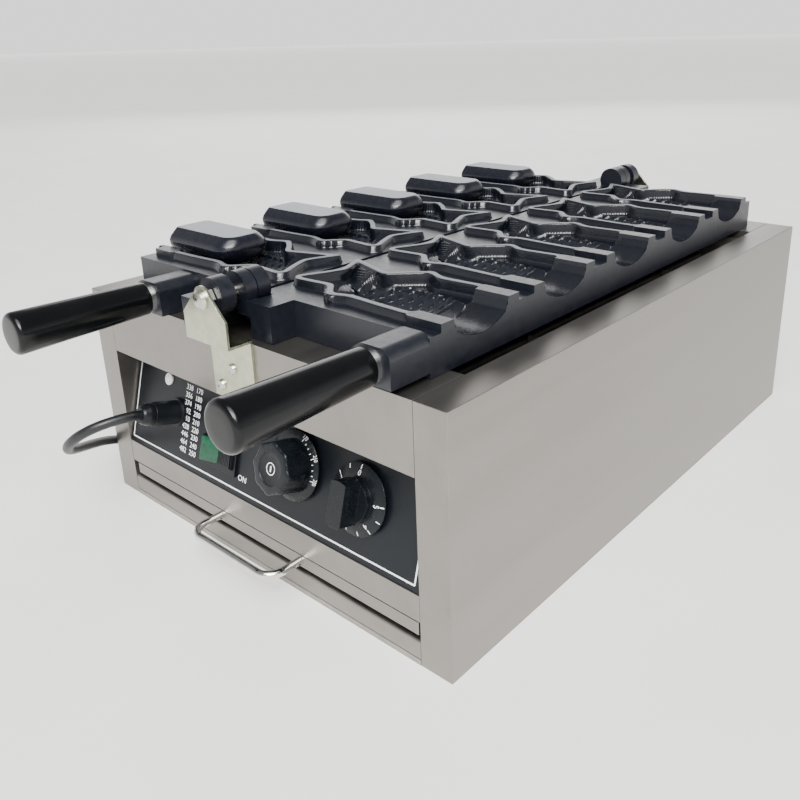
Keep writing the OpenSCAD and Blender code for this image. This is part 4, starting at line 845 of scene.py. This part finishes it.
# %% Grips
HANDLES = (("right", 142.9, 208.0), ("left", -99.0, 204.0))
ROD_R, GRIP_START, GRIP_END = 6.0, 8.05, 110.05
NECK_R, END_R, END_ROUND = 12.8, 15.5, 4.0
a = np.linspace(0, np.pi / 2, 7)[1:]
swell = np.linspace(0, 1, 12)
grip = np.concatenate([[[ROD_R, GRIP_START], [12.2, GRIP_START], [12.75, 8.5]],
                       np.stack([NECK_R + (END_R - NECK_R) * swell, 9 + 97 * swell], -1),
                       np.stack([END_R - END_ROUND + END_ROUND * np.cos(a),
                                 106 + END_ROUND * np.sin(a)], -1),
                       [[ROD_R, GRIP_END]]])
turned = lathe(grip)
for side, x, z in HANDLES:
    shape = np.stack([x + turned[..., 0], -turned[..., 2], z + turned[..., 1]], -1)
    piece(f"{side}_grip", [capped(shape)], f"{side}_half", bakelite,
          (f"{side}_handle_grip",))
print("Grip length", round(GRIP_END - GRIP_START, 1), "mm")

# %% [markdown]
# ## Knob
#
# A lobed knob over a bevelled scale ring sets the temperature. The lobes are a cosine round the
# knob, cut off below so that the valleys are wider than the crests, and fade out towards the dished
# cap in its middle. One surface runs from skirt to cap, so there is no seam between them.

# %% Temperature knob
TEMP, TIMER, SWITCH = (45.0, 46.0), (112.0, 43.5), (-43.0, 29.0)
LOBES, KNOB_POINTS, VALLEY, LOBE_DEEP, LOBE_HIGH = 8, 192, -0.35, 0.9, 1.0
ring = circle(KNOB_POINTS)
theta = np.arctan2(ring[:, 1], ring[:, 0])
lobes = np.clip(np.cos(LOBES * theta), VALLEY, 1)
# Height over the panel, radius, and how much of the lobes shows there.
knob_rows = [(7.1, 20.2, 0.35), (7.4, 20.4, 0.6), (24.2, 19.6, 1.0), (25.2, 19.2, 1.0),
             (25.8, 18.4, 0.95), (26.0, 17.4, 0.8), (26.0, 12.2, 0.0), (25.4, 11.8, 0.0),
             (25.0, 9.0, 0.0), (24.9, 5.0, 0.0)]
knob = np.stack([
    np.concatenate([ring * (r - LOBE_DEEP * deep + LOBE_HIGH * deep * lobes)[:, None],
                    np.full((KNOB_POINTS, 1), z)], -1) for z, r, deep in knob_rows])
piece("temperature_grip", [capped(on_panel(knob, *TEMP))], "temperature_control", knob_plastic,
      ("temperature_knob", "temperature_cap"))
print("Knob lobes:", LOBES)

# %% [markdown]
# ## Rocker
#
# The switch's rocker is a shallow V that tips about its middle. One side carries a clear green lens,
# the other fine ribs for the fingertip. Lens and ribs are outlines raised with rounded edges, leaned
# with their side of the V and then with the whole rocker, which rests on its ribbed side.

# %% Rocker
ROCKER_LEAN, V_SLOPE = math.radians(10), math.atan(5 / 19.0)
V_HALF, V_FLOOR, V_SQUEEZE = 8.5, 1.2, 0.2
RIBS, RIB_REACH = 8, 7.0


def rocker_place(points):
    """Rocker's own right, up and out, leaned with its green side out, on the panel."""
    p = np.asarray(points, float)
    s, c = math.sin(ROCKER_LEAN), math.cos(ROCKER_LEAN)
    return on_panel(np.stack([c * p[..., 0] + s * p[..., 2], p[..., 1],
                              -s * p[..., 0] + c * p[..., 2]], -1), *SWITCH)


def lean_side(points, side):
    """Turns a shape up with the rocker's V and moves it to that side of the middle."""
    s, c = math.sin(V_SLOPE), math.cos(V_SLOPE)
    x, z = points[..., 0] + V_HALF, points[..., 2]
    return np.stack([side * (c * x - s * z * V_SQUEEZE), points[..., 1],
                     V_FLOOR + s * x + c * z], -1)


lens = raised(rounded(8.2, 9.9, 1.2), 0.0, 3.4, 0.8)
rib = raised(rounded(0.7, 9.6, 0.4), 1.0, 3.2, 0.35)
piece("rocker_lens", [capped(rocker_place(lean_side(lens, -1)))], "switch_rocker", green)
bars = [capped(rocker_place(lean_side(rib + [dx, 0, 0], 1)))
        for dx in np.linspace(-RIB_REACH, RIB_REACH, RIBS)]
piece("rocker_ribs", bars, "switch_rocker", black_plastic)
print("Rocker ribs:", len(bars))

# %% [markdown]
# ## Printing
#
# The scales are screen-printed in white: a table of numbers, a border line, plain numbers on the two
# dials and the word beside the switch. Ink has hardly any thickness, so each mark is a flat mesh
# laid just proud of what carries it. Letters from Blender's own font become meshes first, so the
# same function lays them too.

# %% Marks
FONT_SIZE = 1.38  # the font's size for figures 1 mm high


def lettering(text, height, x=0.0, y=0.0, turned_by=0.0):
    """Flat letters centred at x, y, as (points, triangles) in mm."""
    made = bpy.data.curves.new("letters", "FONT")
    made.body, made.size, made.align_x, made.align_y = text, height * FONT_SIZE, "CENTER", "CENTER"
    made.resolution_u = 3
    holder = bpy.data.objects.new("letters", made)
    mesh = bpy.data.meshes.new_from_object(holder)
    mesh.calc_loop_triangles()
    points = np.empty(len(mesh.vertices) * 3)
    mesh.vertices.foreach_get("co", points)
    points = points.reshape(-1, 3)
    faces = np.empty(len(mesh.loop_triangles) * 3, int)
    mesh.loop_triangles.foreach_get("vertices", faces)
    bpy.data.objects.remove(holder)
    bpy.data.curves.remove(made)
    s, c = math.sin(turned_by), math.cos(turned_by)
    flat = np.stack([c * points[:, 0] - s * points[:, 1] + x,
                     s * points[:, 0] + c * points[:, 1] + y, points[:, 2] * 0], -1)
    return flat, faces.reshape(-1, 3)


def stroke(x0, y0, x1, y1, width):
    """A straight printed line as (points, triangles): its ends moved to both sides by width / 2."""
    a, b = np.array([x0, y0]), np.array([x1, y1])
    d = (b - a) / np.linalg.norm(b - a)
    n = np.array([-d[1], d[0]]) * width / 2
    corners = np.array([a - n, b - n, b + n, a + n])
    return np.column_stack([corners, np.zeros(4)]), np.array([[0, 1, 2], [0, 2, 3]])


def ring_mark(radius, width, n=48):
    """A printed ring as (points, triangles): two circles, width apart."""
    flat = np.concatenate([circle(n) * (radius - width / 2), circle(n) * (radius + width / 2)])
    quads = grid_faces(2, n, True)
    halves = np.concatenate([quads[:, :3], quads[:, [0, 2, 3]]])
    return np.column_stack([flat, np.zeros(2 * n)]), halves


def printed(name, marks, place, body):
    """Marks laid on a surface by the function place, as one piece of ink."""
    points, faces, first = [], [], 0
    for p, f in marks:
        points.append(p)
        faces.append(f + first)
        first += len(p)
    laid = metres(place(np.concatenate(points)))
    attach(painted(name, laid, np.concatenate(faces), ink), body)


print("A stroke has", len(stroke(0, 0, 1, 0, 0.1)[1]), "triangles")

# %% Panel printing
LEFT_X, RIGHT_X, LOW_T, HIGH_T, BORDER = -170.2, 168.0, 4.3, 84.0, 1.2
COLUMN_X, TABLE_TOP, ROW_STEP, FIGURE = (-95.6, -82.0), 67.1, 6.63, 4.6
ON_X, ON_T, ON_HEIGHT = -14.6, 14.6, 4.8


def on_front(p):
    """Panel marks: x from the hinge axis, y up the slope, just proud of the coating."""
    return on_panel(p + [0, 0, INK_LIFT], 0.0, 0.0)


marks = [stroke(LEFT_X, LOW_T, RIGHT_X, LOW_T, BORDER),
         stroke(LEFT_X, LOW_T, LEFT_X, HIGH_T, BORDER),
         stroke(RIGHT_X, LOW_T, RIGHT_X, HIGH_T, BORDER)]
celsius = range(170, 260, 10)
for k, value in enumerate(celsius):
    pair = (round(value * 1.8 + 32), value)
    for figure, x in zip(pair, COLUMN_X):
        marks.append(lettering(str(figure), FIGURE, x, TABLE_TOP - ROW_STEP * k))
marks.append(lettering("ON", ON_HEIGHT, ON_X, ON_T))
printed("panel_printing", marks, on_front, "case")
print("Printed rows:", len(celsius))

# %% Dial printing
DIAL_LOW, DIAL_TOP = 4.0, 7.0  # the bevelled rings' heights over the panel
CAP_TOP = 25.1


def dial_place(control, r0, r1):
    """Marks on a bevelled ring: the height falls from its top at radius r0 to its edge at r1."""
    def place(p):
        r = np.hypot(p[:, 0], p[:, 1])
        fall = (DIAL_LOW - DIAL_TOP) * np.clip((r - r0) / (r1 - r0), 0, 1)
        return on_panel(np.stack([p[:, 0], p[:, 1], DIAL_TOP + fall + INK_LIFT], -1), *control)
    return place


def round_dial(angle, radius):
    """Place on a dial, angle in degrees clockwise from the top: (r sin a, r cos a)."""
    a = math.radians(angle)
    return radius * math.sin(a), radius * math.cos(a)


printed("cap_mark", [ring_mark(4.3, 0.7), stroke(0, -2.2, 0, 2.2, 1.3)],
        lambda p: on_panel(p + [0, 0, CAP_TOP], *TEMP), "temperature_control")
marks = []
for k in range(9):
    angle = 22 + 10 * k
    outer_end = 24.0 if k % 4 == 0 else 23.2
    marks.append(stroke(*round_dial(angle, 22.2), *round_dial(angle, outer_end), 0.5))
for value, angle in ((170, 22), (210, 62), (250, 102)):
    marks.append(lettering(str(value), 2.4, *round_dial(angle, 25.0), -math.radians(angle)))
printed("temperature_scale", marks, dial_place(TEMP, 21.5, 26.5), "temperature_control")
marks = []
for k in range(11):
    angle = -27.5 * k
    marks.append(stroke(*round_dial(angle, 21.6), *round_dial(angle, 24.6), 0.7))
for value in range(6):
    angle = -55 * value
    marks.append(lettering(str(value), 3.8, *round_dial(angle, 18.9), -math.radians(angle)))
printed("timer_scale", marks, dial_place(TIMER, 17.0, 25.5), "timer_control")
print("Timer marks:", len(marks))

# %% [markdown]
# ## Floor, backdrop and light
#
# Black coats and satin steel show what surrounds them more than their own colour, so the room
# matters. A pale floor runs into a lit paper backdrop, which fades to a dimmer room above: level
# surfaces mirror the bright paper and turn grey, and those that lean to the viewer stay dark. A
# window at the front right draws the lights on scales and plugs.

# %% Floor and backdrop
HORIZON, ABOVE = 1.45, 0.35  # radiance of the paper at the floor and of the room above
FLOOR_HALF, PAPER_R, PAPER_H, FADE_FROM, PAPER_SIDES = 30.0, 28.0, 16.0, 2.0, 96
corners = np.array([[-1, -1, 0], [1, -1, 0], [1, 1, 0], [-1, 1, 0]]) * FLOOR_HALF
# Painted board: nearly white, with cloudy patches 200 mm wide.
board = finish("pale_studio_floor", "#e9e8e6", "#eeedeb", 200, (0.7, 0.8))
painted("floor", corners, [(0, 1, 2, 3)], board)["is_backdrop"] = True
# Paper lit from below: its light fades with height to the room's.
glow = bpy.data.materials.new("lit_paper_backdrop")
glow.use_nodes = True
tree = glow.node_tree
tree.nodes.clear()
place = add(tree, "TexCoord").outputs["Object"]
high = add(tree, "SeparateXYZ", {0: place}).outputs[2]
fade = add(tree, "MapRange",
           {"Value": high, 1: FADE_FROM, 2: PAPER_H, 3: HORIZON, 4: ABOVE}).outputs[0]
lit = add(tree, "Emission", {"Strength": fade}).outputs[0]
add(tree, "OutputMaterial", {"Surface": lit})
bend = circle(PAPER_SIDES) * PAPER_R
paper = np.concatenate([np.column_stack([bend, np.full(PAPER_SIDES, z)]) for z in (-0.2, PAPER_H)])
painted("backdrop", paper, grid_faces(2, PAPER_SIDES, True)[:, ::-1], glow)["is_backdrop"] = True
world = bpy.data.worlds.new("studio")
bpy.context.scene.world = world
world.use_nodes = True
background = world.node_tree.nodes["Background"]
background.inputs["Color"].default_value = (1.0, 1.0, 1.0, 1.0)
background.inputs["Strength"].default_value = ABOVE
print("Paper", PAPER_H, "m high at", PAPER_R, "m")

# %% Lamps
def lamp(name, kind, at, aim, power, **settings):
    """A lamp at a point, turned to another."""
    data = bpy.data.lights.new(name, kind)
    data.energy = power
    for key, value in settings.items():
        setattr(data, key, value)
    made = linked(name, data)
    direction = np.array(aim, float) - np.array(at, float)
    made.rotation_mode = "QUATERNION"
    made.rotation_quaternion = Vector(direction).to_track_quat("-Z", "Y")
    made.location = at


lamp("ceiling", "SUN", (0.8, -1.0, 2.0), (0, 0, 0), 4.2, angle=math.radians(50))
lamp("window", "AREA", (1.35, -1.7, 2.0), (0, 0, 0.2), 120, shape="RECTANGLE", size=1.5, size_y=1.2)
lamp("rear", "AREA", (-2.2, 2.6, 1.5), (0, 0, 0.1), 45, shape="RECTANGLE", size=3.6, size_y=1.8)
print("Lamps:", len(bpy.data.lights))

# %% [markdown]
# ## The size of the dressed machine
#
# The box round the dressed machine is printed. The finished pieces may stand out of the CAD model's
# box by less than a millimetre, or the machine would look larger than it is.

# %% Size and end
low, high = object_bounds()
print("Visual box", [round(v, 4) for v in (*low, *high)])
